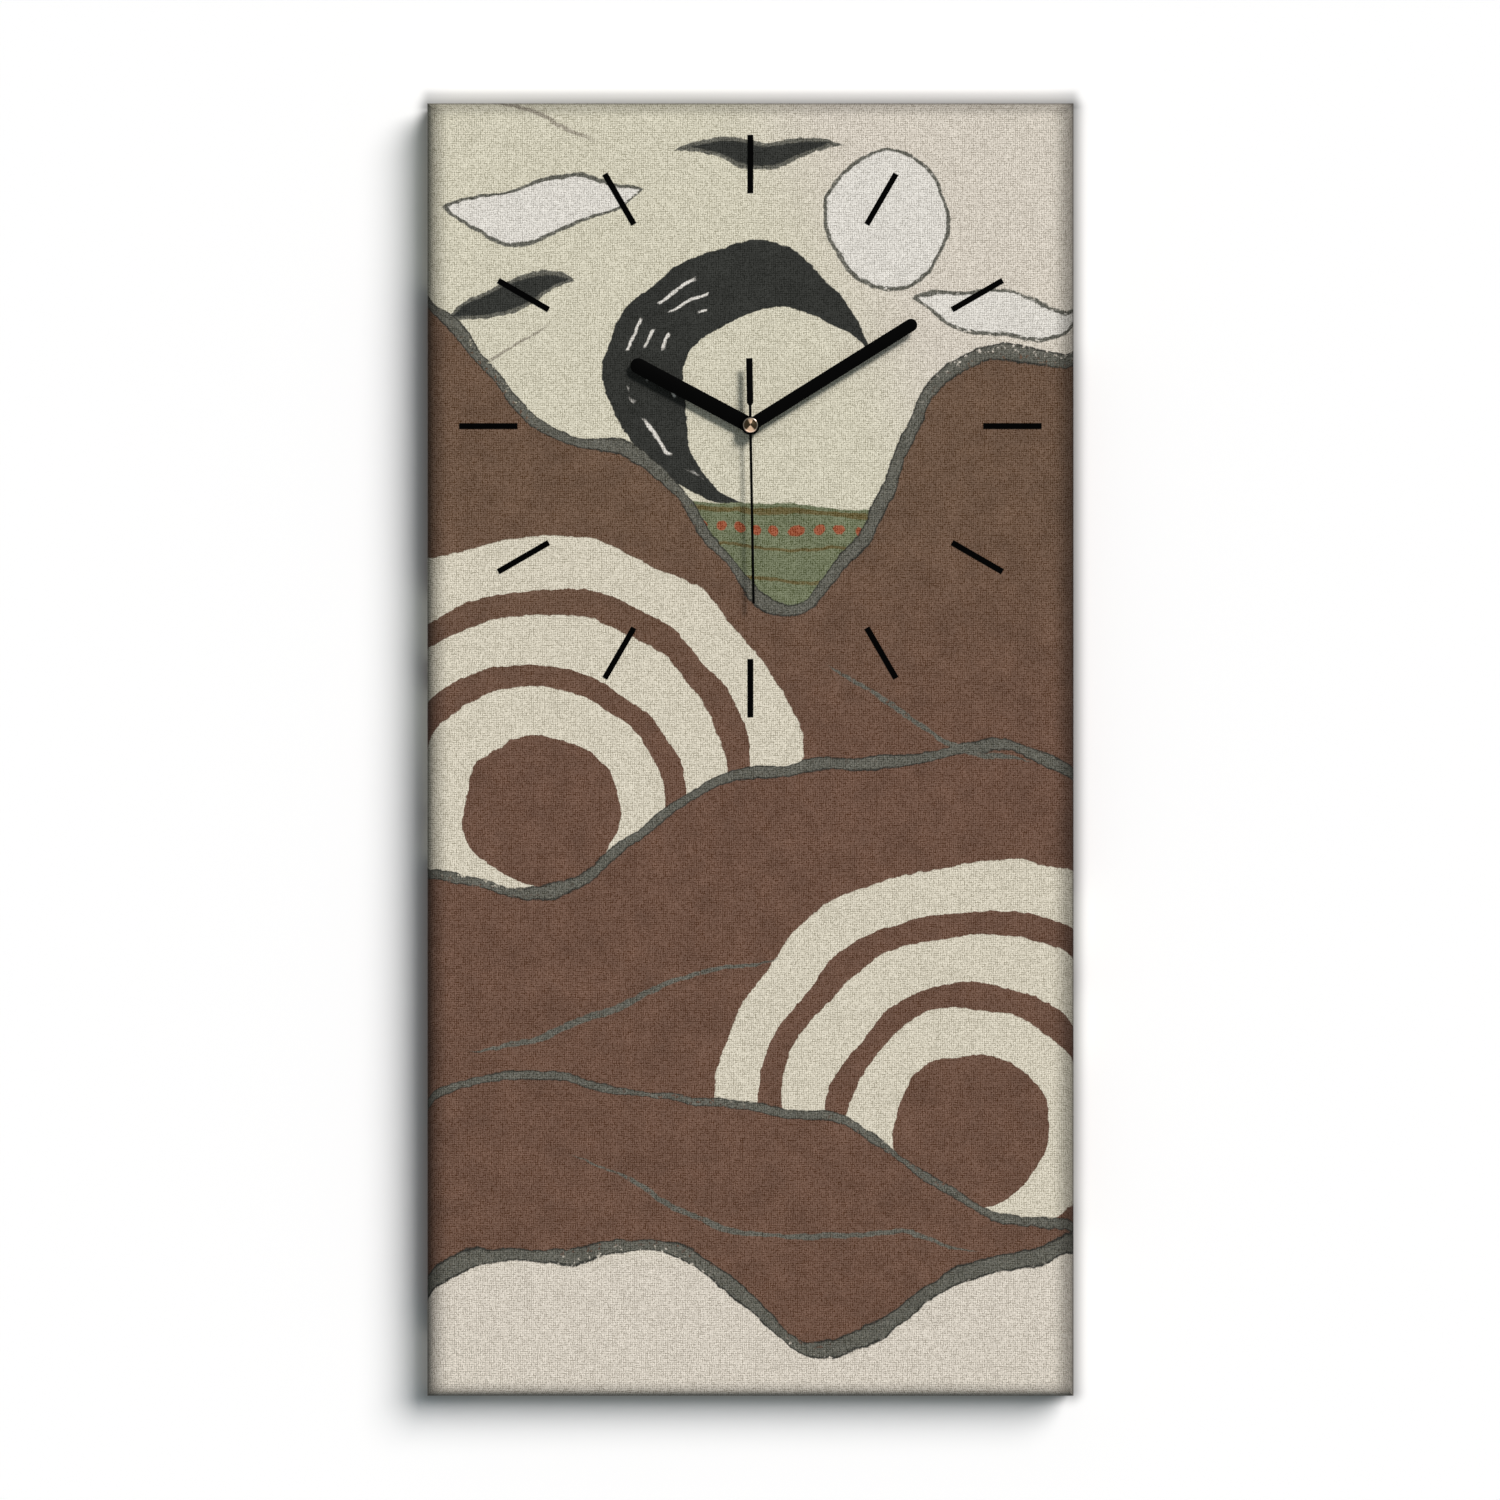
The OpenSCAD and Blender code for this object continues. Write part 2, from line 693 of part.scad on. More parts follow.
module hanger_screws() {
    slot_w = 0.6;
    slot_len = 1.3 * screw_head_r;
    slot_depth = screw_head_t / 2;
    head_y = frame_back_y + hanger_t + screw_head_t;
    color([0.72, 0.72, 0.74]) difference() {
        union() {
            screw_shanks(0);
            for (side = [-1, 1])
                translate([side * (hanger_len - hanger_foot) / 2, 0, hanger_h / 2])
                    slab(head_y, screw_head_t) circle(screw_head_r);
        }
        for (side = [-1, 1], a = [45, 135])
            translate([side * (hanger_len - hanger_foot) / 2, 0, hanger_h / 2])
                slab(head_y + eps, slot_depth + eps)
                rotate(a) square([slot_len, slot_w], center = true);
    }
}

module wall_bumpers() {
    color([0.2, 0.2, 0.2])
        for (side = [-1, 1])
            translate([side * (canvas_w / 2 - bumper_in_x), 0, bottom_z + bumper_in_z])
                slab(0, bumper_t) circle(bumper_r);
}

module hour_marks() {
    color([0.02, 0.02, 0.02])
        for (hour = [0 : 11])
            dial_slab(canvas_front_y, mark_t) rotate(30 * hour)
                translate([-mark_w / 2, mark_in]) square([mark_w, mark_len]);
}

module rounded_square(side, r) {
    square([side, side - 2 * r], center = true);
    square([side - 2 * r, side], center = true);
    for (sx = [-1, 1], sz = [-1, 1])
        translate([sx, sz] * (side / 2 - r)) circle(r);
}

module foam_pad() {
    color([0.9, 0.9, 0.88]) dial_slab(case_front_y, pad_t) difference() {
        rounded_square(case_side - 2 * pad_margin, case_corner_r);
        circle(bush_r + 2 * free_gap);
    }
}

// The part of the case's outline that the lid covers, drawn in by g
module lid_outline(g) {
    intersection() {
        rounded_square(case_side - 2 * g, max(case_corner_r - g, least_corner_r));
        area([-case_side, works_bottom - case_wall + g], [case_side, case_side]);
    }
}

// A blind bearing in a post for an arbor's pivot: the post ends at depth d
module bearing_post(p, d) {
    difference() {
        rod(p, post_r, -eps, d);
        rod(p, pivot_r + run_gap, 0, d + eps);
    }
}

// A post with a thinner spigot that goes through what it carries
module spigot_post(p, r, tip_r, d, past) {
    rod(p, r, -eps, d);
    rod(p, tip_r, d - eps, d + past);
}

module case_front() {
    color([0.07, 0.07, 0.08]) {
        difference() {
            union() {
                dial_slab(case_back_y, case_depth) rounded_square(case_side, case_corner_r);
                dial_slab(case_front_y + eps, case_front_y - canvas_front_y + bush_out + eps)
                    circle(bush_r);
            }
            layer(0, case_depth) area([-inner, works_bottom], [inner, inner]);
            layer(0, case_depth) area([-inner, -inner], [inner, bay_top]);
            dial_slab(case_back_y + eps, case_wall + eps) lid_outline(0);
            dial_slab(floor_y + eps, floor_y - canvas_front_y + bush_out + 2 * eps)
                circle(hour_tube_r + run_gap);
            for (side = [-1, 1])
                layer(strip_d - press_gap, strip_d + strip_w + press_gap)
                    scale([side, 1]) area(
                        [inner - contact_t - press_gap, bay_top - eps],
                        [inner + press_gap, works_bottom + eps]
                    );
        }
        for (p = pillars)
            spigot_post(p, pillar_r, spigot_r, bridge_d, bridge_t + pivot_past);
        for (p = board_posts)
            spigot_post(p, post_r, spigot_r, board_d, board_t + pivot_past);
        for (x = [peg_left, peg_right])
            spigot_post([x, coil_z], post_r, spigot_r, stator_d, 2 * stator_t + pivot_past);
        bearing_post(third_p, centre_d - layer_gap);
        bearing_post(inter_p, centre_d - layer_gap);
        bearing_post(rotor_p, magnet_d - layer_gap);
        bearing_post(stem_p, motion_d - layer_gap);
        rod(motion_p, stud_r, -eps, centre_d - layer_gap / 2);
    }
}

module case_back() {
    color([0.09, 0.09, 0.1]) difference() {
        union() {
            dial_slab(case_back_y, case_wall) lid_outline(0);
            dial_slab(lid_y + eps, rim_depth + eps) difference() {
                lid_outline(case_wall + run_gap);
                lid_outline(2 * case_wall + run_gap);
            }
            dial_slab(case_back_y - eps, well_depth + case_wall)
                intersection() {
                    translate(stem_p) circle(well_r + case_wall);
                    lid_outline(case_wall + run_gap);
                }
        }
        dial_slab(case_back_y + eps, well_depth + eps) intersection() {
            translate(stem_p) circle(well_r);
            lid_outline(case_wall);
        }
        dial_slab(case_back_y, 2 * well_depth + case_wall) translate(stem_p)
            circle(stem_r + run_gap);
    }
}

module gear_bridge() {
    edge = 2;
    color([0.86, 0.86, 0.84]) layer(bridge_d, bridge_d + bridge_t) difference() {
        union() {
            area(
                [pillar_left - edge, pillar_low - edge],
                [pillar_right + edge, pillar_high + edge]
            );
            translate(rotor_p) circle(post_r + edge);
            area(
                [rotor_p[0] - post_r - edge, pillar_high],
                [rotor_p[0] + post_r + edge, rotor_p[1]]
            );
        }
        for (p = pillars) translate(p) circle(spigot_r + press_gap);
        for (p = [third_p, inter_p, rotor_p]) translate(p) circle(pivot_r + run_gap);
        circle(second_shaft_r + run_gap);
        translate(stem_p) circle(stem_r + free_gap);
    }
}

module circuit_board() {
    color([0.1, 0.36, 0.2]) layer(board_d, board_d + board_t) difference() {
        translate([board_left, board_low]) square([board_w, board_h]);
        for (p = board_posts) translate(p) circle(spigot_r + press_gap);
    }
}

// A low domed cover: a slice of a ball that stands on the board
module control_chip() {
    dome_h = 1;
    ball_r = (chip_r * chip_r + dome_h * dome_h) / (2 * dome_h);
    color([0.03, 0.03, 0.03])
        translate([chip_p[0], floor_y + board_d + board_t, dial_z + chip_p[1]])
        rotate([-90, 0, 0]) rotate_extrude() intersection() {
            translate([0, dome_h - ball_r]) circle(ball_r);
            square([chip_r * 2, dome_h]);
        }
}

module quartz_crystal() {
    back_y = floor_y + board_d + board_t;
    color([0.75, 0.75, 0.77])
        translate([crystal_p[0], back_y + crystal_r, dial_z + crystal_p[1]])
        rotate([0, 90, 0]) cylinder(r = crystal_r, h = crystal_len);
}

// A cylinder along the coil's axis, between two places across
module coil_rod(r, x0, x1) {
    translate([x0, floor_y + coil_axis_d, dial_z + coil_z])
        rotate([0, 90, 0]) cylinder(r = r, h = x1 - x0);
}

module core_bar(grow, x0, x1) {
    layer(core_d - grow, core_d + stator_t + grow)
        area([x0, coil_z - core_w / 2 - grow], [x1, coil_z + core_w / 2 + grow]);
}

module coil_bobbin() {
    color([0.93, 0.93, 0.9]) difference() {
        union() {
            coil_rod(bobbin_tube_r, coil_left, coil_right);
            coil_rod(flange_r, coil_left, coil_left + flange_t);
            coil_rod(flange_r, coil_right - flange_t, coil_right);
        }
        core_bar(press_gap, coil_left - eps, coil_right + eps);
    }
}

module coil_winding() {
    color([0.72, 0.4, 0.2]) difference() {
        coil_rod(winding_r, coil_left + flange_t + press_gap, coil_right - flange_t - press_gap);
        coil_rod(bobbin_tube_r + press_gap, coil_left, coil_right);
    }
}

module coil_core() {
    color([0.62, 0.62, 0.64]) difference() {
        core_bar(0, yoke_left, yoke_right);
        for (x = [peg_left, peg_right])
            rod([x, coil_z], spigot_r + press_gap, core_d - eps, core_d + stator_t + eps);
    }
}

module stator() {
    color([0.56, 0.56, 0.58]) layer(stator_d, stator_d + stator_t) difference() {
        union() {
            area([yoke_left, yoke_low], [yoke_right, yoke_low + stator_w]);
            area([yoke_left, yoke_low], [yoke_left + stator_w, yoke_high]);
            area([yoke_right - stator_w, yoke_low], [yoke_right, yoke_high]);
            translate(rotor_p) circle(hole_r + stator_ring);
        }
        translate(rotor_p) circle(hole_r);
        for (x = [peg_left, peg_right]) translate([x, coil_z]) circle(spigot_r + press_gap);
    }
}

// A strip up the right wall, from the battery's tip to the board
module contact_positive() {
    tab_top = positive_tab_z + tab_w;
    color([0.8, 0.78, 0.6]) {
        layer(strip_d, strip_d + strip_w)
            area([inner - contact_t, battery_z - tip_r], [inner, tab_top]);
        layer(board_d + board_t, board_d + board_t + contact_t) area(
            [board_left + board_w - tab_w, positive_tab_z],
            [inner - contact_t + eps, tab_top]
        );
    }
}

// A strip round the left and top walls, with a leaf that bears on the battery's flat end
module contact_negative() {
    leaf_x = battery_left + inner;
    tab_right = negative_tab_x + tab_w;
    color([0.8, 0.78, 0.6]) {
        layer(strip_d, strip_d + strip_w) {
            area([-inner, battery_z - tip_r], [-inner + contact_t, inner]);
            area([-inner, inner - contact_t], [tab_right, inner]);
            translate([-inner, battery_z]) polygon([
                [0, -tip_r], [leaf_x, -contact_t], [leaf_x, contact_t], [0, tip_r],
                [0, tip_r - 2 * contact_t], [leaf_x - contact_t, 0],
                [0, -tip_r + 2 * contact_t]
            ]);
        }
        layer(board_d + board_t, board_d + board_t + contact_t) area(
            [negative_tab_x, board_low + board_h - tab_w],
            [tab_right, inner - contact_t + eps]
        );
    }
}

module rotor_magnet() {
    color([0.25, 0.25, 0.27]) difference() {
        rod(rotor_p, magnet_r, magnet_d, magnet_d + magnet_len);
        rod(rotor_p, arbor_r + press_gap, magnet_d - eps, magnet_d + magnet_len + eps);
    }
}

// An arbor with a thin pivot at its front, in a post, and one at its back, in the bridge
module arbor(p, post_d) {
    rod(p, arbor_r, post_d + layer_gap / 2, bridge_d - layer_gap / 2);
    rod(p, pivot_r, layer_gap, bridge_d + bridge_t);
}

module rotor_pinion() {
    color([0.9, 0.9, 0.86]) {
        arbor(rotor_p, magnet_d - layer_gap);
        layer(inter_d - pinion_over, inter_d + wheel_t + pinion_over)
            toothed(rotor_p, rotor_teeth, inter_wheel_teeth, rotor_m, rotor_pinion_a);
    }
}

module intermediate_wheel() {
    color([0.92, 0.92, 0.9]) {
        arbor(inter_p, centre_d - layer_gap);
        layer(inter_d, inter_d + wheel_t)
            light_wheel(inter_p, inter_wheel_teeth, rotor_teeth, rotor_m, inter_wheel_a);
        layer(second_d - pinion_over, inter_d)
            toothed(inter_p, inter_pinion_teeth, second_wheel_teeth, inter_m, inter_pinion_a);
    }
}

module second_wheel() {
    bore = second_shaft_r + press_gap;
    color([0.92, 0.92, 0.9]) {
        layer(second_d, second_d + wheel_t) light_wheel(
            axis_p, second_wheel_teeth, inter_pinion_teeth, inter_m, second_wheel_a, bore
        );
        layer(third_d - pinion_over, second_d) toothed(
            axis_p, second_pinion_teeth, third_wheel_teeth, second_m, second_pinion_a, bore
        );
    }
}

module second_shaft() {
    front_d = second_shaft_end - floor_y;
    color([0.75, 0.75, 0.77]) rod(axis_p, second_shaft_r, front_d, bridge_d + bridge_t);
}

module third_wheel() {
    color([0.92, 0.92, 0.9]) {
        arbor(third_p, centre_d - layer_gap);
        layer(third_d, third_d + wheel_t)
            light_wheel(third_p, third_wheel_teeth, second_pinion_teeth, second_m, third_wheel_a);
        layer(centre_d - pinion_over, third_d)
            toothed(third_p, third_pinion_teeth, centre_wheel_teeth, third_m, third_pinion_a);
    }
}

module centre_wheel() {
    color([0.92, 0.92, 0.9]) layer(centre_d, centre_d + wheel_t) light_wheel(
        axis_p, centre_wheel_teeth, third_pinion_teeth, third_m, centre_wheel_a,
        minute_tube_r + press_gap
    );
}

// The tube that carries the minute hand, with the cannon pinion on it
module minute_tube() {
    front_d = minute_tube_end - floor_y;
    bore = second_shaft_r + run_gap;
    color([0.85, 0.85, 0.82]) {
        layer(front_d, centre_d + wheel_t) difference() {
            circle(minute_tube_r);
            circle(bore);
        }
        layer(motion_d - pinion_over, motion_d + wheel_t + pinion_over)
            toothed(axis_p, cannon_teeth, motion_wheel_teeth, motion_m, cannon_a, bore);
    }
}

module motion_wheel() {
    bore = stud_r + run_gap;
    color([0.92, 0.92, 0.9]) {
        layer(motion_d, motion_d + wheel_t)
            toothed(motion_p, motion_wheel_teeth, cannon_teeth, motion_m, motion_wheel_a, bore);
        layer(hour_d - pinion_over, motion_d)
            toothed(
                motion_p, motion_pinion_teeth, hour_wheel_teeth, hour_m, motion_pinion_a, bore
            );
    }
}

// The hour wheel with the tube that carries the hour hand
module hour_wheel() {
    front_d = hour_tube_end - floor_y;
    bore = minute_tube_r + run_gap;
    color([0.92, 0.92, 0.9]) {
        layer(hour_d, hour_d + wheel_t) light_wheel(
            axis_p, hour_wheel_teeth, motion_pinion_teeth, hour_m, hour_wheel_a, bore
        );
        layer(front_d, hour_d) difference() {
            circle(hour_tube_r);
            circle(bore);
        }
    }
}

module setting_pinion() {
    color([0.88, 0.88, 0.86]) {
        rod(stem_p, pivot_r, layer_gap, motion_d);
        rod(stem_p, stem_r, motion_d - pinion_over, knob_end_y - floor_y - free_gap);
        layer(motion_d - pinion_over, motion_d + wheel_t + pinion_over)
            toothed(stem_p, setting_teeth, motion_wheel_teeth, motion_m, setting_a);
    }
}

module setting_knob() {
    color([0.13, 0.13, 0.14]) difference() {
        dial_slab(knob_end_y, knob_end_y - knob_y) translate(stem_p) difference() {
            circle(knob_r);
            for (k = [0 : knob_grooves - 1])
                rotate(360 * k / knob_grooves) translate([knob_r, 0]) circle(groove_r);
        }
        rod(stem_p, stem_r + press_gap, 0, knob_end_y - floor_y - free_gap + press_gap);
    }
}

// A cylinder along the battery's axis, between two places across
module battery_rod(r, x0, x1) {
    translate([x0, battery_y, dial_z + battery_z])
        rotate([0, 90, 0]) cylinder(r = r, h = x1 - x0);
}

module battery_can() {
    color([0.75, 0.76, 0.78]) {
        battery_rod(battery_r - sleeve_t - press_gap, battery_left, battery_right - tip_len);
        battery_rod(tip_r, battery_right - tip_len - eps, battery_right);
    }
}

module battery_sleeve() {
    end = 0.4;
    color([0.16, 0.34, 0.22]) difference() {
        battery_rod(battery_r, battery_left + end, battery_right - tip_len - end);
        battery_rod(battery_r - sleeve_t, battery_left, battery_right);
    }
}

// A drawing that points to twelve, turned clockwise to its place and extruded
module hand_blade(y, t, angle) {
    color([0.03, 0.03, 0.03]) dial_slab(y, t) rotate(-angle) children();
}

// A round-ended bar with a round middle
module bar_hand(len, w, middle_r, bore_r) {
    difference() {
        union() {
            circle(middle_r);
            area([-w / 2, 0], [w / 2, len - w / 2]);
            translate([0, len - w / 2]) circle(w / 2);
        }
        circle(bore_r);
    }
}

// A short tube behind a hand that grips its shaft
module collet(y, shaft_r) {
    color([0.72, 0.6, 0.34]) dial_slab(y + collet_len, collet_len) difference() {
        circle(shaft_r + press_gap + collet_wall);
        circle(shaft_r + press_gap);
    }
}

module hour_hand() {
    hand_blade(hour_hand_y, hand_t, hour_angle)
        bar_hand(hour_hand_len, hour_hand_w, hub_r, hour_tube_r + press_gap);
}

module minute_hand() {
    hand_blade(minute_hand_y, hand_t, minute_angle)
        bar_hand(minute_hand_len, minute_hand_w, hub_r - hub_step, minute_tube_r + press_gap);
}

// A needle, with a broad tail that starts at a short shoulder
module second_hand() {
    neck_from = tail_from - shoulder_len;
    hand_blade(second_hand_y, needle_t, second_angle) difference() {
        union() {
            circle(hub_r - 2 * hub_step);
            area([-needle_w / 2, 0], [needle_w / 2, second_hand_len]);
            polygon([
                [-needle_w / 2, 0], [-needle_w / 2, -neck_from], [-tail_w / 2, -tail_from],
                [-tail_w / 2, -tail_len], [tail_w / 2, -tail_len], [tail_w / 2, -tail_from],
                [needle_w / 2, -neck_from], [needle_w / 2, 0]
            ]);
        }
        circle(second_shaft_r + press_gap);
    }
}

module hour_collet() { collet(hour_hand_y, hour_tube_r); }
module minute_collet() { collet(minute_hand_y, minute_tube_r); }
module second_collet() { collet(second_hand_y, second_shaft_r); }

// A turned disc, chamfered round its front, with a socket for the shaft's end
module hub_cap() {
    color([0.78, 0.5, 0.38]) translate([0, cap_y, dial_z]) rotate([90, 0, 0]) rotate_extrude()
        polygon([
            [0, tube_past + press_gap], [second_shaft_r + press_gap, tube_past + press_gap],
            [second_shaft_r + press_gap, 0], [cap_r, 0], [cap_r, cap_t - cap_chamfer],
            [cap_r - cap_chamfer, cap_t], [0, cap_t]
        ]);
}

canvas_wrap();
front_panel();
stile_left();
stile_right();
rail_top();
rail_bottom();
corner_nails();
canvas_staples();
hanger_plate();
hanger_screws();
wall_bumpers();
hour_marks();
foam_pad();
case_front();
case_back();
gear_bridge();
circuit_board();
control_chip();
quartz_crystal();
coil_bobbin();
coil_winding();
coil_core();
stator();
contact_positive();
contact_negative();
rotor_magnet();
rotor_pinion();
intermediate_wheel();
second_wheel();
second_shaft();
third_wheel();
centre_wheel();
minute_tube();
motion_wheel();
hour_wheel();
setting_pinion();
setting_knob();
battery_can();
battery_sleeve();
hour_hand();
hour_collet();
minute_hand();
minute_collet();
second_hand();
second_collet();
hub_cap();
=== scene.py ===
"""Looks of the canvas wall clock: its cloth and print, hands, cap, small hardware and finishes."""
import json
import math
import bmesh
import bpy
import numpy as np
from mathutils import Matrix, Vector
from mathutils.geometry import tessellate_polygon


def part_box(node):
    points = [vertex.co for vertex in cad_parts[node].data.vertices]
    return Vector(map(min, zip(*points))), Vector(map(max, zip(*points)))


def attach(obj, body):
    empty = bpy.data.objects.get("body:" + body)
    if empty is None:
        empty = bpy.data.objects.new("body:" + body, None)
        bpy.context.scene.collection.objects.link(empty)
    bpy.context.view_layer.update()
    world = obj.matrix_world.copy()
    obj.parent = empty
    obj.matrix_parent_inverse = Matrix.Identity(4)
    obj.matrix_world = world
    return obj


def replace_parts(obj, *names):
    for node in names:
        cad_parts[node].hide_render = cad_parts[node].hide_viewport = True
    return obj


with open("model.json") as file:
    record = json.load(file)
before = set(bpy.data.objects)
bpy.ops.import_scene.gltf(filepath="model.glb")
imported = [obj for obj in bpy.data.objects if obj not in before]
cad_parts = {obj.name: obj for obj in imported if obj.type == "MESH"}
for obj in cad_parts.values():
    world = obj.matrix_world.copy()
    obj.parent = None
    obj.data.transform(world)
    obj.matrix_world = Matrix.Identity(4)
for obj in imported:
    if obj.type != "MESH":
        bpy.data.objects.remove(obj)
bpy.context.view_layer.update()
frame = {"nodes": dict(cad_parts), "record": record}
nodes = frame["nodes"]

# Measures in millimetres, in the frame's own axes: x to the right, y to the wall, z up
MM = 0.001
CANVAS_W, CANVAS_H = 300, 600
MID_Z, DIAL_Z = -286, -136             # middles of the canvas and of the dial
CANVAS_FRONT, FRAME_BACK = -24, -2
CLOTH_T, CLOTH_MID = 0.48, 0.25        # thickness, and depth of its middle below its face
EDGE_ROLL, BACK_ROLL = 3.25, 0.45      # radii of the turns round the front and back edges
FLAP = 22                              # cloth turned over on the back
PRINT_END = 26                         # the print stops this far past the front's edges
STAPLE_IN = 11                         # staples' distance from the outer edge
STILE_STAPLES, STILE_PITCH = 9, 62.0
RAIL_STAPLES, RAIL_PITCH = 4, 196 / 3
BUSH_HOLE = 3.85                       # radius of the hole for the movement's bush
BUMPER_X, BUMPER_Z = 120, -573


def box(node):
    """Lowest and highest corners of a CAD node at rest, in millimetres."""
    low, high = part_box(node)
    return low / MM, high / MM


# Shapes


def put(name, data):
    """Adds an object to the scene."""
    made = bpy.data.objects.new(name, data)
    bpy.context.scene.collection.objects.link(made)
    return made


def put_mesh(name, points, faces, material, body="clock_body", sharp=35, flat=None):
    """Adds a piece from points in millimetres. Doubled points are joined and faces turned outward.
    flat gives each point's place on the unrolled cloth, kept as the UV map called cloth."""
    mesh = bpy.data.meshes.new(name)
    mesh.from_pydata((np.asarray(points, float) * MM).tolist(), [], faces)
    if flat is not None:
        corners = np.empty(len(mesh.loops), int)
        mesh.loops.foreach_get("vertex_index", corners)
        spread = mesh.uv_layers.new(name="cloth")
        spread.uv.foreach_set("vector", (flat[corners] * MM).ravel())
    work = bmesh.new()
    work.from_mesh(mesh)
    bmesh.ops.remove_doubles(work, verts=work.verts, dist=1e-6)
    bmesh.ops.recalc_face_normals(work, faces=work.faces)
    work.to_mesh(mesh)
    work.free()
    mesh.materials.append(material)
    mesh.shade_smooth()
    mesh.set_sharp_from_angle(angle=math.radians(sharp))
    piece = put(name, mesh)
    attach(piece, body)
    return piece


def inset(loop, by):
    """Each corner of an anticlockwise loop moved inward along the bisector of its two sides."""
    ahead = np.roll(loop, -1, axis=0) - loop
    side = np.stack([-ahead[:, 1], ahead[:, 0]], axis=1) / np.linalg.norm(ahead, axis=1)[:, None]
    before = np.roll(side, 1, axis=0)
    return loop + by * (side + before) / (1 + (side * before).sum(axis=1))[:, None]


def plate(outline, depth, round_r, holes=(), steps=3):
    """A flat piece with rounded edges, as points (across, up, forward) and faces: each loop is
    carried through a quarter circle at either face, and the two faces are cut into triangles."""
    loops = [(np.asarray(outline, float), 1)] + [(np.asarray(h, float), -1) for h in holes]
    turn = np.linspace(0, math.pi / 2, steps + 1)
    draw_in, rise = round_r * (1 - np.sin(turn)), round_r * (1 - np.cos(turn))
    profile = list(zip(draw_in, rise)) + list(zip(draw_in[::-1], depth - rise[::-1]))
    rings, total = [], sum(len(loop) for loop, _ in loops)
    for shift, forward in profile:
        ring = np.concatenate([inset(loop, shift * sign) for loop, sign in loops])
        rings.append(np.column_stack([ring, np.full(total, forward)]))
    faces, start = [], 0
    for loop, _ in loops:
        here = start + np.arange(len(loop))
        after = start + np.roll(np.arange(len(loop)), -1)
        band = np.stack([here, after, after + total, here + total], axis=1)
        for k in range(len(profile) - 1):
            faces += (band + k * total).tolist()
        start += len(loop)
    cuts = np.cumsum([len(loop) for loop, _ in loops])[:-1]
    for k in (0, len(profile) - 1):
        face_loops = [[Vector(p) for p in loop] for loop in np.split(rings[k], cuts)]
        faces += [[i + k * total for i in face] for face in tessellate_polygon(face_loops)]
    return np.concatenate(rings), faces


def revolve(profile, steps=64):
    """A turned piece, as points (across, up, forward) and faces: a profile of (radius, forward)
    carried round the forward axis in equal steps."""
    turn = np.linspace(0, 2 * math.pi, steps, endpoint=False)
    radius, forward = np.asarray(profile, float).T[:, :, None]
    points = np.stack([
        radius * np.cos(turn), radius * np.sin(turn), forward + 0 * turn
    ], axis=2).reshape(-1, 3)
    return points, ring_faces(len(profile), steps).tolist()


def grid_faces(rows, cols):
    """Quads of a grid whose points are numbered row by row."""
    r, c = np.meshgrid(np.arange(rows - 1), np.arange(cols - 1), indexing="ij")
    a = r * cols + c
    return np.stack([a, a + 1, a + cols + 1, a + cols], axis=-1).reshape(-1, 4)


def ring_faces(rows, around):
    """Quads between closed rows of points, each row numbered round and then the next."""
    row, col = np.meshgrid(np.arange(rows - 1), np.arange(around), indexing="ij")
    a, b = row * around + col, row * around + (col + 1) % around
    return np.stack([a, b, b + around, a + around], axis=-1).reshape(-1, 4)


def repeat(points, faces, places):
    """Copies of a shape joined into one: each place is (x, y, z, upright), and an upright copy has
    its across and up changed over."""
    all_points, all_faces = [], []
    for k, (x, y, z, upright) in enumerate(places):
        laid = points[:, [2, 1, 0]] if upright else points
        all_points.append(laid + np.array([x, y, z]))
        all_faces += [[i + k * len(points) for i in face] for face in faces]
    return np.concatenate(all_points), all_faces


def on_dial(points, back, angle=0, middle=(0, DIAL_Z)):
    """Points (across, up, forward) set on the dial: turned clockwise and moved forward of back."""
    c, s = math.cos(math.radians(angle)), math.sin(math.radians(angle))
    across, up, forward = points.T
    return np.column_stack([
        across * c + up * s + middle[0], back - forward, up * c - across * s + middle[1]
    ])


def arc(middle, r, start, end, steps):
    """Points on a circle from one angle to another, in degrees."""
    turn = np.radians(np.linspace(start, end, steps + 1))
    return np.column_stack([middle[0] + r * np.cos(turn), middle[1] + r * np.sin(turn)])


def round_rect(w, h, r, steps=6):
    """Anticlockwise outline of a rectangle with round corners."""
    corners = [(1, 1, 0), (-1, 1, 90), (-1, -1, 180), (1, -1, 270)]
    return np.concatenate([
        arc((sx * (w / 2 - r), sz * (h / 2 - r)), r, a, a + 90, steps) for sx, sz, a in corners
    ])


# Finishes: short calls for nodes


def wire(tree, kind, *given, out=0, **settings):
    """Adds a node, sets it, feeds its inputs in order but for each None, and returns an output."""
    node = tree.nodes.new(kind)
    for name, value in settings.items():
        setattr(node, name, value)
    for socket, value in zip(node.inputs, given):
        feed(tree, socket, value)
    return node.outputs[out]


def feed(tree, socket, value):
    """Links an output to a socket, or sets the socket to a plain value."""
    if isinstance(value, Reading):
        value = value.socket
    if isinstance(value, bpy.types.NodeSocket):
        tree.links.new(value, socket)
    elif value is not None:
        socket.default_value = value


def reckon(operation):
    """A method that adds a Math node of one kind to a reading's tree."""
    def method(self, *others):
        made = wire(self.tree, "ShaderNodeMath", self, *others, operation=operation)
        return Reading(self.tree, made)
    return method


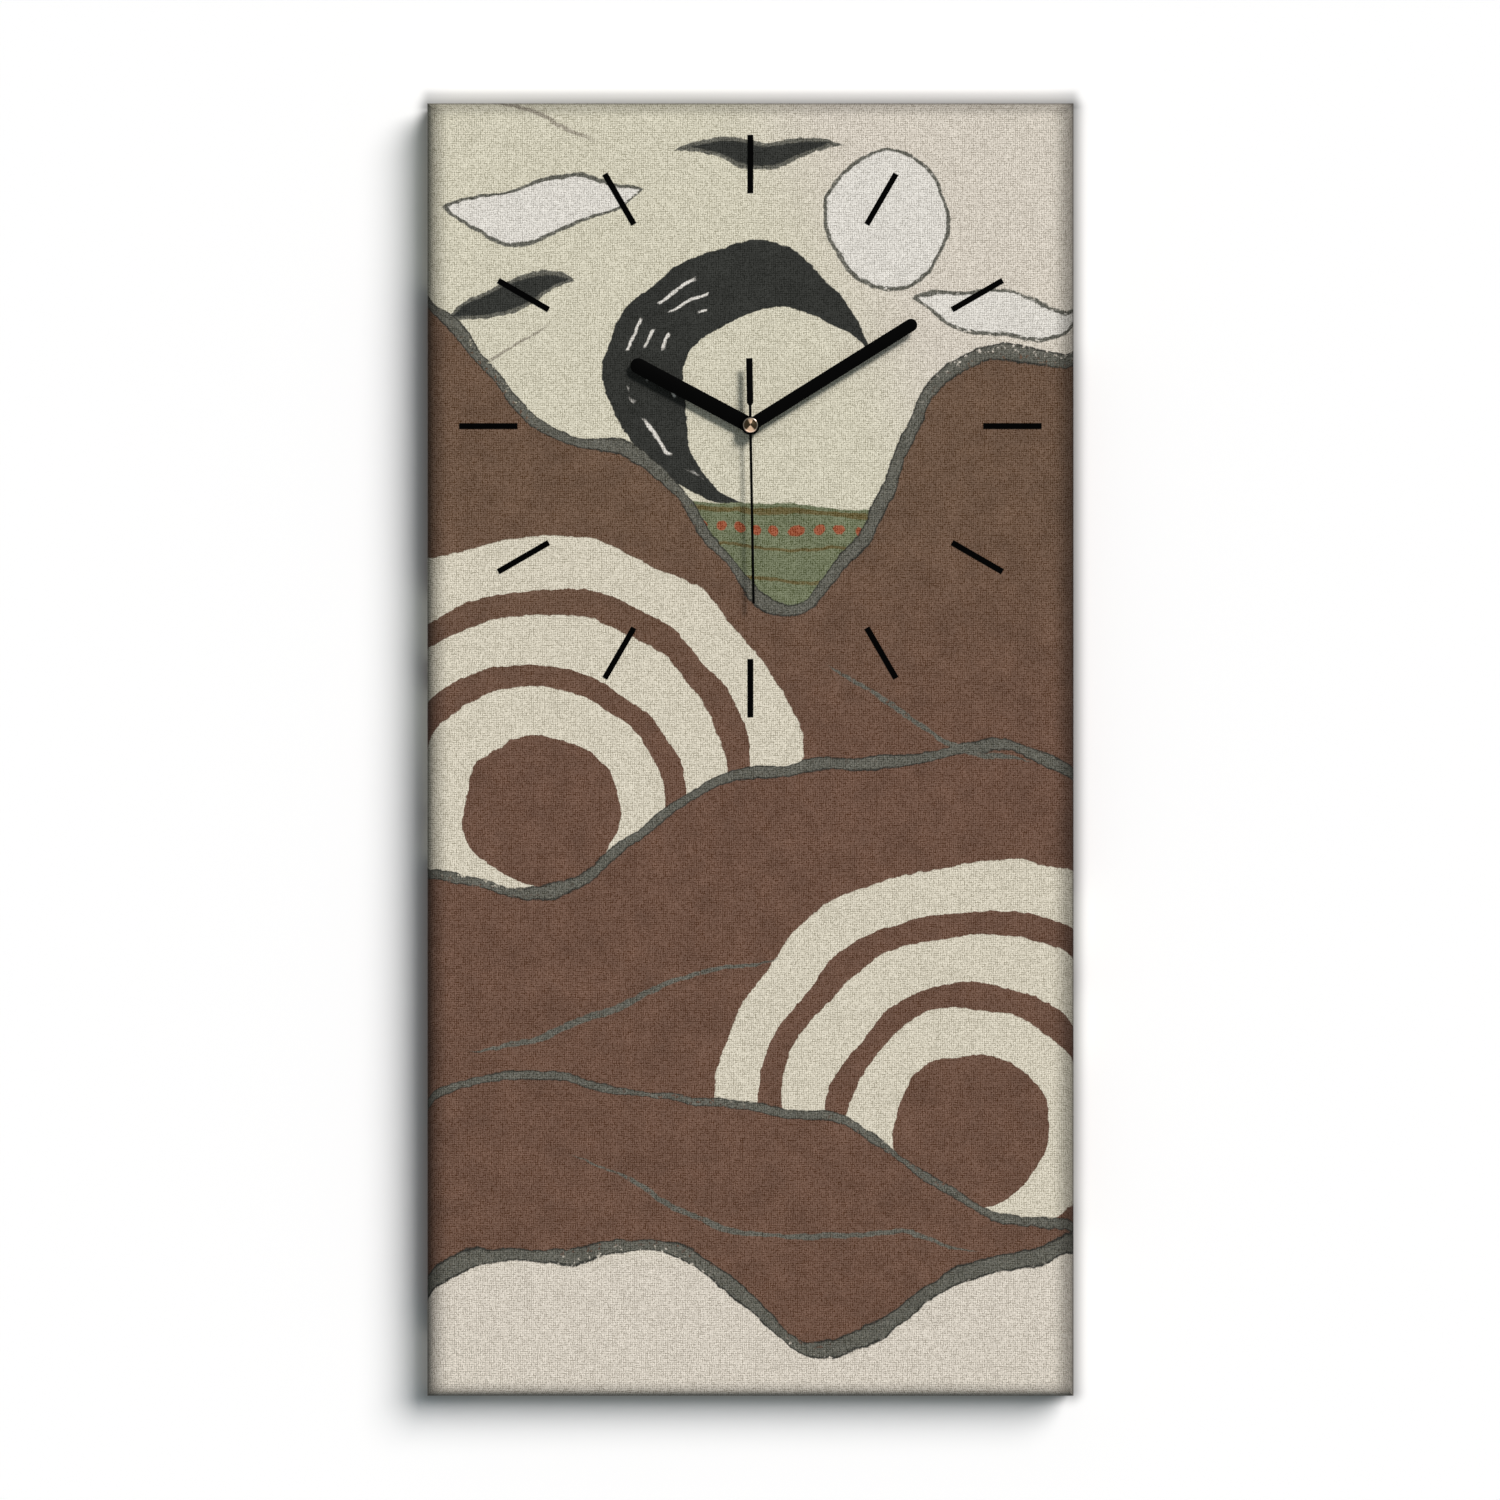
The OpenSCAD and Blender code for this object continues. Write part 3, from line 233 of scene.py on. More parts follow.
class Reading:
    """A number on a node's output. Its arithmetic adds Math nodes to the same tree."""

    def __init__(self, tree, socket):
        self.tree, self.socket = tree, socket

    __add__ = __radd__ = reckon("ADD")
    __mul__ = __rmul__ = reckon("MULTIPLY")
    __sub__, __truediv__ = reckon("SUBTRACT"), reckon("DIVIDE")
    __pow__, __abs__ = reckon("POWER"), reckon("ABSOLUTE")
    most, pingpong = reckon("MAXIMUM"), reckon("PINGPONG")
    sin, sqrt, floor, fract = reckon("SINE"), reckon("SQRT"), reckon("FLOOR"), reckon("FRACT")

    def __rsub__(self, other):
        return self * -1 + other

    def hypot(self, other):
        return (self * self + other * other).sqrt()

    def ramp(self, low, high):
        """0 below low, 1 above high and smooth between them; the other way round if low > high."""
        ends = (low, high, 0, 1) if low < high else (high, low, 1, 0)
        return Reading(self.tree, wire(
            self.tree, "ShaderNodeMapRange", self, *ends, interpolation_type="SMOOTHSTEP"
        ))


def split(tree, vector):
    """The three parts of a vector or colour."""
    parts = wire(tree, "ShaderNodeSeparateXYZ", vector).node.outputs
    return [Reading(tree, part) for part in parts]


def scaled(tree, colour, amount):
    """A colour made lighter or darker by an amount."""
    return wire(tree, "ShaderNodeVectorMath", colour, None, None, amount, operation="SCALE")


def blend(tree, share, under, over):
    """One colour over another by a share."""
    other_kinds = [None] * 5
    return wire(tree, "ShaderNodeMix", share, *other_kinds, under, over, out=2, data_type="RGBA")


def noise(tree, place, scale, detail=2.0, rough=0.5, stretch=None, out=0):
    """Smooth noise, finer along the axes that stretch makes larger."""
    if stretch:
        place = wire(tree, "ShaderNodeVectorMath", place, stretch, operation="MULTIPLY")
    return Reading(tree, wire(
        tree, "ShaderNodeTexNoise", place, None, scale, detail, rough, out=out
    ))


def lightness(tree, colour):
    """How light a colour is, 0 to 1."""
    return Reading(tree, wire(tree, "ShaderNodeRGBToBW", colour))


KINDS = {float: "NodeSocketFloat", str: "NodeSocketVector", tuple: "NodeSocketColor"}


def group(name, inputs, outputs, draw):
    """A node group. Each input is a name and a plain value, or the word vector; each output is a
    name and its kind; draw takes the tree and the inputs and returns what the outputs give."""
    tree = bpy.data.node_groups.new(name, "ShaderNodeTree")
    for label, value in inputs.items():
        socket = tree.interface.new_socket(label, in_out="INPUT", socket_type=KINDS[type(value)])
        if not isinstance(value, str):
            socket.default_value = value
    for label, kind in outputs.items():
        tree.interface.new_socket(label, in_out="OUTPUT", socket_type="NodeSocket" + kind)
    source = tree.nodes.new("NodeGroupInput")
    sink = tree.nodes.new("NodeGroupOutput")
    given = [
        Reading(tree, socket) if socket.type == "VALUE" else socket
        for socket in source.outputs[:len(inputs)]
    ]
    for value, socket in zip(draw(tree, *given), sink.inputs):
        feed(tree, socket, value)
    return tree


def use(tree, made, *given):
    """Places a node group and returns its outputs, numbers as readings."""
    outputs = wire(tree, "ShaderNodeGroup", *given, node_tree=made).node.outputs
    return [Reading(tree, o) if o.type == "VALUE" else o for o in outputs]


def ink(r, g, b):
    """A colour from its display values, 0 to 255."""
    def linear(v):
        v /= 255
        return v / 12.92 if v <= 0.04045 else ((v + 0.055) / 1.055) ** 2.4
    return (linear(r), linear(g), linear(b), 1.0)


def material(name, roughness=0.5, metallic=0.0, specular=0.5, **more):
    """A material with its constants set on the shader. Returns it with its tree and shader."""
    made = bpy.data.materials.new(name)
    made.use_nodes = True
    tree = made.node_tree
    shader = tree.nodes["Principled BSDF"]
    constants = {"Roughness": roughness, "Metallic": metallic, "Specular IOR Level": specular}
    for label, value in (constants | more).items():
        shader.inputs[label.replace("_", " ")].default_value = value
    return made, tree, shader


def coat(tree, shader, colour, rough, height, strength, depth):
    """Feeds the shader its colour, its roughness unless that is None, and its normal from a height
    of 0 to 1 that stands for a depth in millimetres."""
    node = tree.nodes.new("ShaderNodeBump")
    node.inputs["Strength"].default_value = strength
    node.inputs["Distance"].default_value = depth * MM
    feed(tree, node.inputs["Height"], height)
    feed(tree, shader.inputs["Base Color"], colour)
    feed(tree, shader.inputs["Roughness"], rough)
    feed(tree, shader.inputs["Normal"], node.outputs["Normal"])


def own_place(tree):
    """The piece's own coordinates, in metres."""
    return tree.nodes.new("ShaderNodeTexCoord").outputs["Object"]


# The print: hills, ringed arches, a dark crescent, clouds and a pale disc on cream cloth

CREAM, CREAM_PINK, CREAM_WARM = ink(207, 202, 182), ink(210, 202, 189), ink(209, 202, 184)
PALE = ink(217, 213, 205)
BROWN, BROWN_DULL = ink(106, 80, 66.5), ink(105, 83, 67.5)
CHARCOAL = ink(48, 49, 46)
SAGE = ink(112, 118, 92)
OLIVE = ink(100, 90, 58)
RUST = ink(150, 84, 58)
OUTLINE, OUTLINE_DRY, OUTLINE_EDGE = ink(78, 78, 72), ink(116, 114, 104), ink(50, 50, 46)
WIND = ink(160, 153, 138)
PRIMER = ink(228, 225, 216)


def draw_ridge(tree, x, z, level, tilt, swell, wave, phase):
    """Distance above a line of hills: a tilted line with two sine waves on it."""
    near = x / wave + phase
    far = near * 2.3 + 1.1
    line = level + tilt * x + swell * (near.sin() + far.sin() * 0.35)
    slope = tilt + swell / wave * ((near + math.pi / 2).sin() + (far + math.pi / 2).sin() * 0.8)
    return [(z - line) / slope.hypot(1)]


def draw_disc(tree, x, z, across, up, radius):
    """Distance outside a circle."""
    return [(x - across).hypot(z - up) - radius]


def draw_bands(tree, outside, band, gap, count):
    """Rings one after another outside a circle."""
    pitch = band + gap
    turn = outside / pitch
    within = (turn - turn.floor()) * pitch
    ring = within.ramp(-0.3, 0.3) * (within - band).ramp(0.3, -0.3)
    return [ring * outside.ramp(-0.3, 0.3) * (outside - (count * pitch - gap / 2)).ramp(0.3, -0.3)]


def draw_stroke(tree, cloth, gap, width):
    """A brush line where the gap is near nought. It swells, thins and runs dry in places."""
    swollen = width * (noise(tree, cloth, 26, 1) * 1.5 + 0.2)
    dry = noise(tree, cloth, 420, 4, 0.65).ramp(0.34, 0.46)
    spent = noise(tree, cloth, 9, 1).ramp(0.36, 0.46)
    body = (abs(gap) - swollen / 2).ramp(0.35, -0.35)
    return [body * (dry * (1 - spent) + spent) * (dry * 0.3 + 0.7)]


def draw_weave(tree, cloth):
    """Plain weave: a crown on each crossing, longer along the thread on top. Between the threads
    lie gaps, open at some crossings and closed at others, where painted shade darkens the colour;
    some threads stand out over a long way with the same painted shade beside them. Painted
    highlights lighten the tops of some crossings."""
    pitch = 1.02 * MM
    wander = split(tree, noise(tree, cloth, 260, 2, out=1))
    u, v = (at / pitch + aside * 1.3 for at, aside in zip(split(tree, cloth)[:2], wander))
    crown_u, crown_v = abs((u * math.pi).sin()), abs((v * math.pi).sin())
    over = (u.floor() + v.floor()).pingpong(1)
    along = crown_u ** 0.35 * crown_v ** 1.1
    across = crown_u ** 1.1 * crown_v ** 0.35
    height = along * over + across * (1 - over)

    def chance(first, second, layer):
        cell = wire(tree, "ShaderNodeCombineXYZ", first.floor(), second.floor(), layer)
        return Reading(tree, wire(tree, "ShaderNodeTexWhiteNoise", cell, noise_dimensions="3D"))

    def gaps(first, second, crown, share):
        open_here = chance(first + 0.5, second * 1.9, share).ramp(share, share + 0.35)
        return crown.ramp(0.72, 0.18) * open_here

    upright = gaps(u, v, crown_u, 0.44)
    level = gaps(v, u, crown_v, 0.46)
    long_up, long_level = [
        noise(tree, cloth, 1, 1, 0.5, stretch).ramp(0.60, 0.72) * crown.ramp(0.8, 0.3)
        for stretch, crown in (((900, 30, 1), crown_u), ((30, 900, 1), crown_v))
    ]
    # Painted shade in the open gaps between the threads and along the long runs
    gap_shade = upright.most(level).most(long_up.most(long_level) * 0.6)
    # Painted highlights on the tops of some crossings
    crest_highlights = (crown_u * crown_v).ramp(0.2, 0.8) * chance(u, v, 0.8).ramp(0.25, 0.85)
    return [height, gap_shade, crest_highlights]


RIDGE = group("hill line", {
    "Across": 0.0, "Up": 0.0, "Level": 0.0, "Tilt": 0.0, "Swell": 20.0, "Wave": 50.0, "Phase": 0.0
}, {"Above": "Float"}, draw_ridge)
DISC = group("circle", {
    "Across": 0.0, "Up": 0.0, "Middle across": 0.0, "Middle up": 0.0, "Radius": 30.0
}, {"Outside": "Float"}, draw_disc)
BANDS = group("rings", {
    "Outside": 0.0, "Band": 22.0, "Gap": 11.0, "Count": 3.0
}, {"Mask": "Float"}, draw_bands)
STROKE = group("brush line", {
    "Cloth": "vector", "Gap": 0.0, "Width": 4.0
}, {"Mask": "Float"}, draw_stroke)
WEAVE = group("woven cloth", {"Cloth": "vector"}, {
    "Height": "Float", "Gap shade": "Float", "Crest highlights": "Float"
}, draw_weave)


def draw_picture(tree, cloth):
    """The printed picture, painted from back to front in millimetres from the canvas's middle.
    Slow and fine noise moves every edge, as in hand-cut printing."""
    slow = split(tree, noise(tree, cloth, 14, 2, out=1))
    fine = split(tree, noise(tree, cloth, 190, 3, 0.6, out=1))
    x, z = (
        at / MM + (sway - 0.5) * 22 + (fray - 0.5) * 3
        for at, sway, fray in zip(split(tree, cloth)[:2], slow, fine)
    )

    def ridge(*values):
        return use(tree, RIDGE, x, z, *values)[0]

    def disc(*values):
        return use(tree, DISC, x, z, *values)[0]

    def stroke(gap, width):
        return use(tree, STROKE, cloth, gap, width)[0]

    def paint(under, colour, mask):
        return blend(tree, mask, under, colour)

    streak = noise(tree, cloth, 1000, 4, 0.7).ramp(0.30, 0.75)
    outline = blend(tree, streak, OUTLINE, OUTLINE_DRY)

    def inside(distance):
        return distance.ramp(0.3, -0.3)

    def brush(under, gap, width):
        edged = paint(under, OUTLINE_EDGE, stroke(gap, width))
        return paint(edged, outline, stroke(gap, width * 0.78))

    def cloud(level, tilt, middle, half, reach):
        across = x - middle
        height = half - across * across * (half / reach ** 2)
        return abs(ridge(level, tilt, 4, 17, middle)) - height

    pink_share = z.ramp(-200, -245).most((x + z * 0.5).ramp(120, 190))
    cream = blend(tree, pink_share, CREAM, CREAM_PINK)
    moon = disc(64, 246, 30)
    picture = paint(cream, PALE, inside(moon))
    picture = paint(picture, outline, stroke(moon, 1.8))
    for colour, gap in (
        (PALE, cloud(264, 0.10, -96, 13, 44)), (CHARCOAL, cloud(228, 0.16, -112, 7, 30)),
        (PALE, cloud(214, -0.08, 116, 10, 40)), (CHARCOAL, cloud(276, 0.05, 4, 5, 34))
    ):
        picture = paint(picture, colour, inside(gap))
        picture = paint(picture, outline, stroke(gap, 1.8))
    for line, width, middle in (
        (ridge(258, -0.42, 3, 60, 0.3), 1.8, -98), (ridge(244, 0.5, 3, 40, 2), 1.4, -118)
    ):
        picture = paint(picture, WIND, stroke(line, width) * (abs(x - middle) - 24).ramp(6, -6))
    crescent, hollow = disc(-6, 176, 60), disc(14, 160, 47)
    picture = paint(picture, CHARCOAL, inside(crescent))
    glints = noise(tree, cloth, 46, 2).ramp(0.50, 0.54)
    for depth in (9, 17, 25):
        picture = paint(picture, PALE, stroke(crescent + depth, 1.5) * glints * inside(x + 22))
    picture = paint(picture, cream, inside(hollow))
    field_edge = ridge(112, -0.05, 5, 30, 1.0)
    field = inside(field_edge) * inside(abs(x) - 92)
    picture = paint(picture, SAGE, field)
    rows = field_edge * -1
    for depth, width in ((3, 2.6), (21, 1.8), (38, 2.2)):
        picture = paint(picture, OLIVE, stroke(rows - depth, width) * field)
    lane = (x / 9).fract() * 9 - 4.5
    berry = lane.hypot(rows - 11.5) - 2.6
    picture = paint(picture, RUST, inside(berry) * field)

    brown = blend(tree, z.ramp(-20, 130), BROWN, BROWN_DULL)
    far = ridge(140, 0, 60, 48, -1.67)
    picture = paint(picture, brown, inside(far))
    arches = use(tree, BANDS, disc(-98, -28, 36))[0]
    picture = paint(picture, CREAM_WARM, arches * inside(far + 9))
    picture = brush(picture, far, 6.0)
    near = ridge(-28, 0.10, 22, 55, 0.6)
    picture = paint(picture, BROWN, inside(near))
    arches = use(tree, BANDS, disc(104, -176, 36))[0]
    picture = paint(picture, CREAM_WARM, arches * inside(near + 9))
    picture = brush(picture, near, 5.4)
    low = ridge(-180, -0.12, 20, 60, 2.2)
    picture = paint(picture, BROWN, inside(low))
    picture = brush(picture, low, 4.4)
    for line, width, middle, reach in (
        (ridge(-212, -0.20, 8, 50, 4.4), 2.6, 12, 96),
        (ridge(-104, 0.22, 9, 46, 1.2), 3.2, -60, 74),
        (ridge(52, -0.42, 8, 40, 2.0), 2.8, 84, 50)
    ):
        taper = 1 - (abs(x - middle) / reach) ** 4
        picture = paint(picture, outline, stroke(line, taper.most(0) * width) * taper.ramp(0, 0.3))
    plain = ridge(-246, 0.05, 24, 42, 3.6)
    picture = paint(picture, cream, inside(plain))
    picture = brush(picture, plain, 7.0)

    worn = noise(tree, cloth, 60, 5, 0.65)
    grain = noise(tree, cloth, 900, 3, 0.6)
    depth = (1 - lightness(tree, picture) * 1.6).most(0.12)
    tone = (worn - 0.5) * depth * 0.85 + (grain - 0.5) * 0.20 + 1
    return [scaled(tree, picture, tone)]


PICTURE = group("printed picture", {"Cloth": "vector"}, {"Colour": "Color"}, draw_picture)


def canvas_material():
    """Printed cotton canvas. Painted shade darkens its front edges as they roll away, with a dark
    line along the very edge and more on the right and top, and the print ends a little past the
    back edge, where the primed cloth begins. The threads' painted highlights and painted shade
    lighten and darken the colour and part of its own grey, so that their marks are less coloured
    than the ink."""
    made, tree, shader = material("printed canvas", 0.86, specular=0.12)
    cloth = wire(tree, "ShaderNodeUVMap", uv_map="cloth")
    picture = use(tree, PICTURE, cloth)[0]
    height, gap_shade, crest_highlights = use(tree, WEAVE, cloth)
    place = split(tree, cloth)
    past_x = abs(place[0]) / MM - CANVAS_W / 2
    past_z = abs(place[1]) / MM - CANVAS_H / 2
    past = past_x.most(past_z)
    # Painted shade along the front's left and right edges and along its top and bottom, gone again
    # on the sides
    sides = 1 - past_x.ramp(-11.5, -0.5) ** 1.15 * past_x.ramp(10, 3) * 0.66
    ends = 1 - past_z.ramp(-8, 0) * past_z.ramp(10, 3) * 0.52
    colour = blend(tree, past.ramp(PRINT_END, PRINT_END + 0.6), picture, PRIMER)
    grey = lightness(tree, colour)
    # Painted highlights on the thread tops and painted shade in the gaps between them
    thread = (crest_highlights * 0.5 - gap_shade * 1.08) * (0.84 - grey * 0.5)
    threads = scaled(tree, blend(tree, 0.4, colour, grey), thread)
    # Painted shade: a dark line along the very edge, and more on the right and top rolls, which
    # face the light
    edge = 1 - past.ramp(-0.8, 1.4) * past.ramp(4, 2) * 0.35
    toward_light = (place[0] / MM - CANVAS_W / 2).most(place[1] / MM - CANVAS_H / 2)
    edge = edge * (1 - toward_light.ramp(-1.5, 0.3) * past.ramp(5, 3) * 0.4)
    woven = wire(tree, "ShaderNodeVectorMath", colour, (1.06, 1.06, 1.06), threads,
                 operation="MULTIPLY_ADD")
    # All of the painted edge shade laid on the colour
    shaded = scaled(tree, woven, sides * ends * edge)
    coat(tree, shader, shaded, None, height - gap_shade * 0.5, strength=0.30, depth=0.25)
    return made


# Finishes of the other pieces


def draw_surface(tree, place, base, worn, patch, grain, low, high):
    """A plain surface with uneven patches and a fine grain, in colour, roughness and height."""
    patches = noise(tree, place, patch, 3, 0.55)
    fine = noise(tree, place, grain, 3, 0.6)
    colour = blend(tree, (patches * 0.7 + fine * 0.3).ramp(0.35, 0.72), base, worn)
    rough = low + (high - low) * (patches * 0.4 + fine * 0.6)
    return [colour, rough, fine]


SURFACE = group("plain surface", {
    "Place": "vector", "Base": (0.5, 0.5, 0.5, 1.0), "Worn": (0.5, 0.5, 0.5, 1.0),
    "Patch scale": 60.0, "Grain scale": 1500.0, "Low roughness": 0.4, "High roughness": 0.6
}, {"Colour": "Color", "Roughness": "Float", "Height": "Float"}, draw_surface)


def plain(name, base, worn, low, high, metallic=0.0, patch=60, grain=1500, stretch=(1, 1, 1),
          strength=0.2, depth=0.05, specular=0.5, **more):
    """A material on the plain surface group. The stretch makes its grain run one way."""
    made, tree, shader = material(name, metallic=metallic, specular=specular, **more)
    place = wire(tree, "ShaderNodeVectorMath", own_place(tree), stretch, operation="MULTIPLY")
    looks = use(tree, SURFACE, place, ink(*base), ink(*worn), patch, grain, low, high)
    coat(tree, shader, *looks, strength, depth)
    return made


def draw_pine(tree, place):
    """Sawn pine with its grain along the third axis: growth rings round a far heart, waving
    along the bar, with fibres and small knots."""
    part = split(tree, place)
    drift = noise(tree, place, 1, 3, 0.5, (9, 9, 2.2))
    heart = (part[0] - 0.21).hypot(part[1] + 0.06) + (drift - 0.5) * 0.035
    turn = (heart / 0.0042).fract()
    late = turn.ramp(0.35, 0.95) * turn.ramp(1.0, 0.95)
    fibre = noise(tree, place, 1, 4, 0.65, (1400, 1400, 40))
    knot = noise(tree, place, 1, 1, 0.4, (26, 26, 7)).ramp(0.70, 0.76)
    colour = blend(tree, late * 0.75 + fibre * 0.2, ink(222, 190, 143), ink(186, 137, 84))
    colour = blend(tree, knot * 0.8, colour, ink(112, 70, 40))
    return [colour, 0.62 + fibre * 0.2, fibre * 0.7 + late * 0.3]


PINE = group("sawn pine", {"Place": "vector"}, {
    "Colour": "Color", "Roughness": "Float", "Height": "Float"
}, draw_pine)


def pine(name, order, shift):
    """Pine for one bar. The order of the axes puts the grain along the bar."""
    made, tree, shader = material(name, specular=0.3)
    parts = split(tree, own_place(tree))
    near, deep, along = (parts[axis] for axis in order)
    place = wire(tree, "ShaderNodeCombineXYZ", near + shift, deep, along)
    coat(tree, shader, *use(tree, PINE, place), strength=0.35, depth=0.15)
    return made


def hardboard():
    """Pressed fibre board: brown, flecked with fibres, the back marked by a fine screen whose
    grooves carry painted shade.
    """
    made, tree, shader = material("pressed fibre board", specular=0.3)
    place = own_place(tree)
    parts = split(tree, place)
    screen = abs((parts[0] * (math.pi / 0.0013)).sin()) * abs((parts[2] * (math.pi / 0.0013)).sin())
    fibres = noise(tree, place, 700, 5, 0.7)
    patches = noise(tree, place, 22, 3)
    colour = blend(tree, fibres.ramp(0.3, 0.7), ink(132, 94, 62), ink(100, 68, 44))
    colour = blend(tree, patches.ramp(0.45, 0.7) * 0.18, colour, ink(146, 108, 74))
    # Painted shade in the screen's grooves
    colour = blend(tree, (1 - screen) * 0.22, colour, ink(62, 40, 26))
    height = screen * 0.7 + fibres * 0.4
    coat(tree, shader, colour, 0.6 + fibres * 0.25, height, strength=0.5, depth=0.12)
    return made


def turned_copper():
    """Copper-coloured cap with fine turning marks. Painted reflections light the marks above and
    below the middle and painted shade keeps them dark to its left and right; painted highlights
    brighten the bevelled rim along its lower part and at its upper right."""
    made, tree, shader = material("turned copper", 0.34, 1.0)
    parts = split(tree, own_place(tree))
    x, z = parts[0] / MM, parts[2] / MM - DIAL_Z
    r = x.hypot(z)
    rise = abs(z) / r.most(0.05)
    below = z.ramp(0.2, -0.2)
    # Painted reflection: bright wedges above and below the middle, dark to its left and right
    painted_sheen = rise.ramp(0.84, 0.99) * (1 - below) * 0.6 + rise.ramp(0.64, 0.92) * below
    marks = (r * 26).sin() * 0.5 + 0.5
    smear = noise(tree, own_place(tree), 900, 3, 0.6)
    colour = blend(tree, painted_sheen, ink(34, 29, 18), ink(208, 178, 150))
    colour = blend(tree, marks * 0.12 + smear * 0.06, colour, ink(120, 100, 78))
    # Painted highlights on the rim, at its upper right and along its lower part
    upper_right_glint = (1 - abs(x - z) / 1.4).most(0) * (x + z).ramp(1, 3)
    glint = (rise.ramp(0.45, 0.95) * below).most(upper_right_glint)
    rim = blend(tree, glint, ink(104, 98, 88), ink(226, 198, 178))
    colour = blend(tree, r.ramp(2.9, 3.05), colour, rim)
    colour = blend(tree, r.ramp(0.6, 0.4) * 0.5, colour, ink(40, 34, 26))
    rough = 0.26 + marks * 0.1 + smear * 0.1
    coat(tree, shader, colour, rough, marks, strength=0.25, depth=0.02)
    return made


def wound_copper():
    """Fine lacquered wire wound side by side along the bobbin, with painted shade between the turns
    and painted highlights along their tops.
    """
    made, tree, shader = material("lacquered winding wire", 0.35, 0.8, Coat_Weight=0.4)
    place = own_place(tree)
    parts = split(tree, place)
    turns = abs((parts[0] * (math.pi / 0.00018)).sin())
    uneven = noise(tree, place, 260, 3)
    # Painted shade in the grooves between turns and painted highlight on each turn's top
    colour = blend(tree, turns, ink(92, 44, 22), ink(198, 112, 66))
    colour = blend(tree, uneven.ramp(0.45, 0.75) * 0.4, colour, ink(226, 150, 100))
    coat(tree, shader, colour, None, turns, strength=0.5, depth=0.08)
    return made


def battery_wrapper():
    """Printed film round the cell: dark green with one light band, and a sheen of clear film."""
    made, tree, shader = material("printed film", 0.32, 0.25, Coat_Weight=0.5)
    place = own_place(tree)
    along = split(tree, place)[0] / MM
    smear = noise(tree, place, 160, 4, 0.6)
    colour = blend(tree, smear.ramp(0.35, 0.7), ink(26, 62, 42), ink(36, 78, 54))
    colour = blend(tree, (along - 13).ramp(-0.1, 0.1), colour, ink(206, 204, 190))
    colour = blend(tree, (along - 15).ramp(-0.1, 0.1), colour, ink(30, 66, 46))
    coat(tree, shader, colour, 0.26 + smear * 0.16, smear, strength=0.1, depth=0.05)
    return made


CANVAS = canvas_material()
BLACK_HAND = plain("black lacquer on metal", (2, 2, 2), (3, 3, 3), 0.45, 0.6, grain=2600,
                   strength=0.1, depth=0.02, specular=0.015)
STEEL = plain("zinc-plated steel", (176, 178, 180), (140, 143, 146), 0.26, 0.46, 1.0, 180, 2400)
STAPLE_WIRE = plain("bright staple wire", (120, 122, 126), (84, 86, 90), 0.2, 0.4, 1.0, 180, 2400)
BUMPER = plain("soft grey rubber", (58, 58, 58), (74, 73, 71), 0.62, 0.85, patch=240, specular=0.3)
FOAM = plain("white foam tape", (226, 225, 218), (206, 204, 194), 0.8, 0.95, grain=1300,
             strength=0.8, depth=0.3, specular=0.2)
ABS = plain("black moulded plastic", (24, 24, 25), (31, 31, 32), 0.42, 0.62, patch=30, grain=2600,
            strength=0.5, depth=0.06, specular=0.25)
BRASS = plain("brass", (196, 160, 92), (166, 128, 66), 0.24, 0.42, 1.0, 200, 2200)
CAN_STEEL = plain("nickel-plated can", (196, 196, 194), (168, 168, 166), 0.18, 0.34, 1.0, 120, 1800)

FINISHES = {
    "zinc_steel": STEEL,
    "yellow_zinc": plain("yellow zinc plating", (196, 168, 98), (172, 176, 120), 0.24, 0.42, 1.0,
                         140, 2200, (1, 1, 3)),
    "black_vinyl": plain("matt black film", (2, 2, 2), (3, 3, 3), 0.55, 0.7, grain=1800,
                         strength=0.1, depth=0.02, specular=0.01),
    "black_abs": ABS,
    "natural_acetal": plain("natural moulded gear plastic", (232, 229, 216), (216, 212, 196), 0.34,
                            0.5, patch=120, Subsurface_Weight=0.15, Subsurface_Scale=0.001),
    "board_green": plain("green solder mask", (26, 86, 52), (36, 104, 62), 0.25, 0.42, patch=300,
                         Coat_Weight=0.4),
    "black_epoxy": plain("black potting resin", (18, 18, 20), (32, 32, 34), 0.3, 0.55, patch=500),
    "silver_can": plain("drawn tin can", (198, 200, 202), (170, 172, 176), 0.2, 0.34, 1.0,
                        240, 2600),
    "copper_wire": wound_copper(),
    "soft_iron": plain("annealed iron sheet", (134, 134, 136), (108, 108, 112), 0.36, 0.55, 1.0,
                       150, 1900, (3, 1, 1)),
    "magnet": plain("sintered magnet", (70, 70, 74), (96, 96, 100), 0.3, 0.5, 0.9, 400, 2800),
    "contact_metal": plain("nickel-plated spring sheet", (204, 200, 190), (176, 172, 162), 0.2,
                           0.36, 1.0, 160, 2400, (1, 1, 3)),
    "black_hand": BLACK_HAND,
    "brass_collet": BRASS,
    "hardboard": hardboard(),
}


def dress(node, finish):
    """Gives a CAD node its finish on every material slot."""
    for slot in nodes[node].material_slots:
        slot.material = finish


for part in frame["record"]["subparts"]:
    if part["material_slot"] in FINISHES:
        dress(part["node"], FINISHES[part["material_slot"]])
for name, order, shift in (
    ("stile_left", (0, 1, 2), 0.0), ("stile_right", (0, 1, 2), 0.113),
    ("rail_top", (2, 1, 0), 0.06), ("rail_bottom", (2, 1, 0), 0.47)
):
    dress(name, pine("pine of " + name, order, shift))


def soften(node, width):
    """Rounds a CAD node's sharp edges a little."""
    rounding = nodes[node].modifiers.new("soft edges", "BEVEL")
    rounding.width, rounding.segments = width * MM, 2
    rounding.limit_method, rounding.angle_limit = "ANGLE", math.radians(50)


soften("case_front", 0.2)
soften("case_back", 0.25)


# The cloth


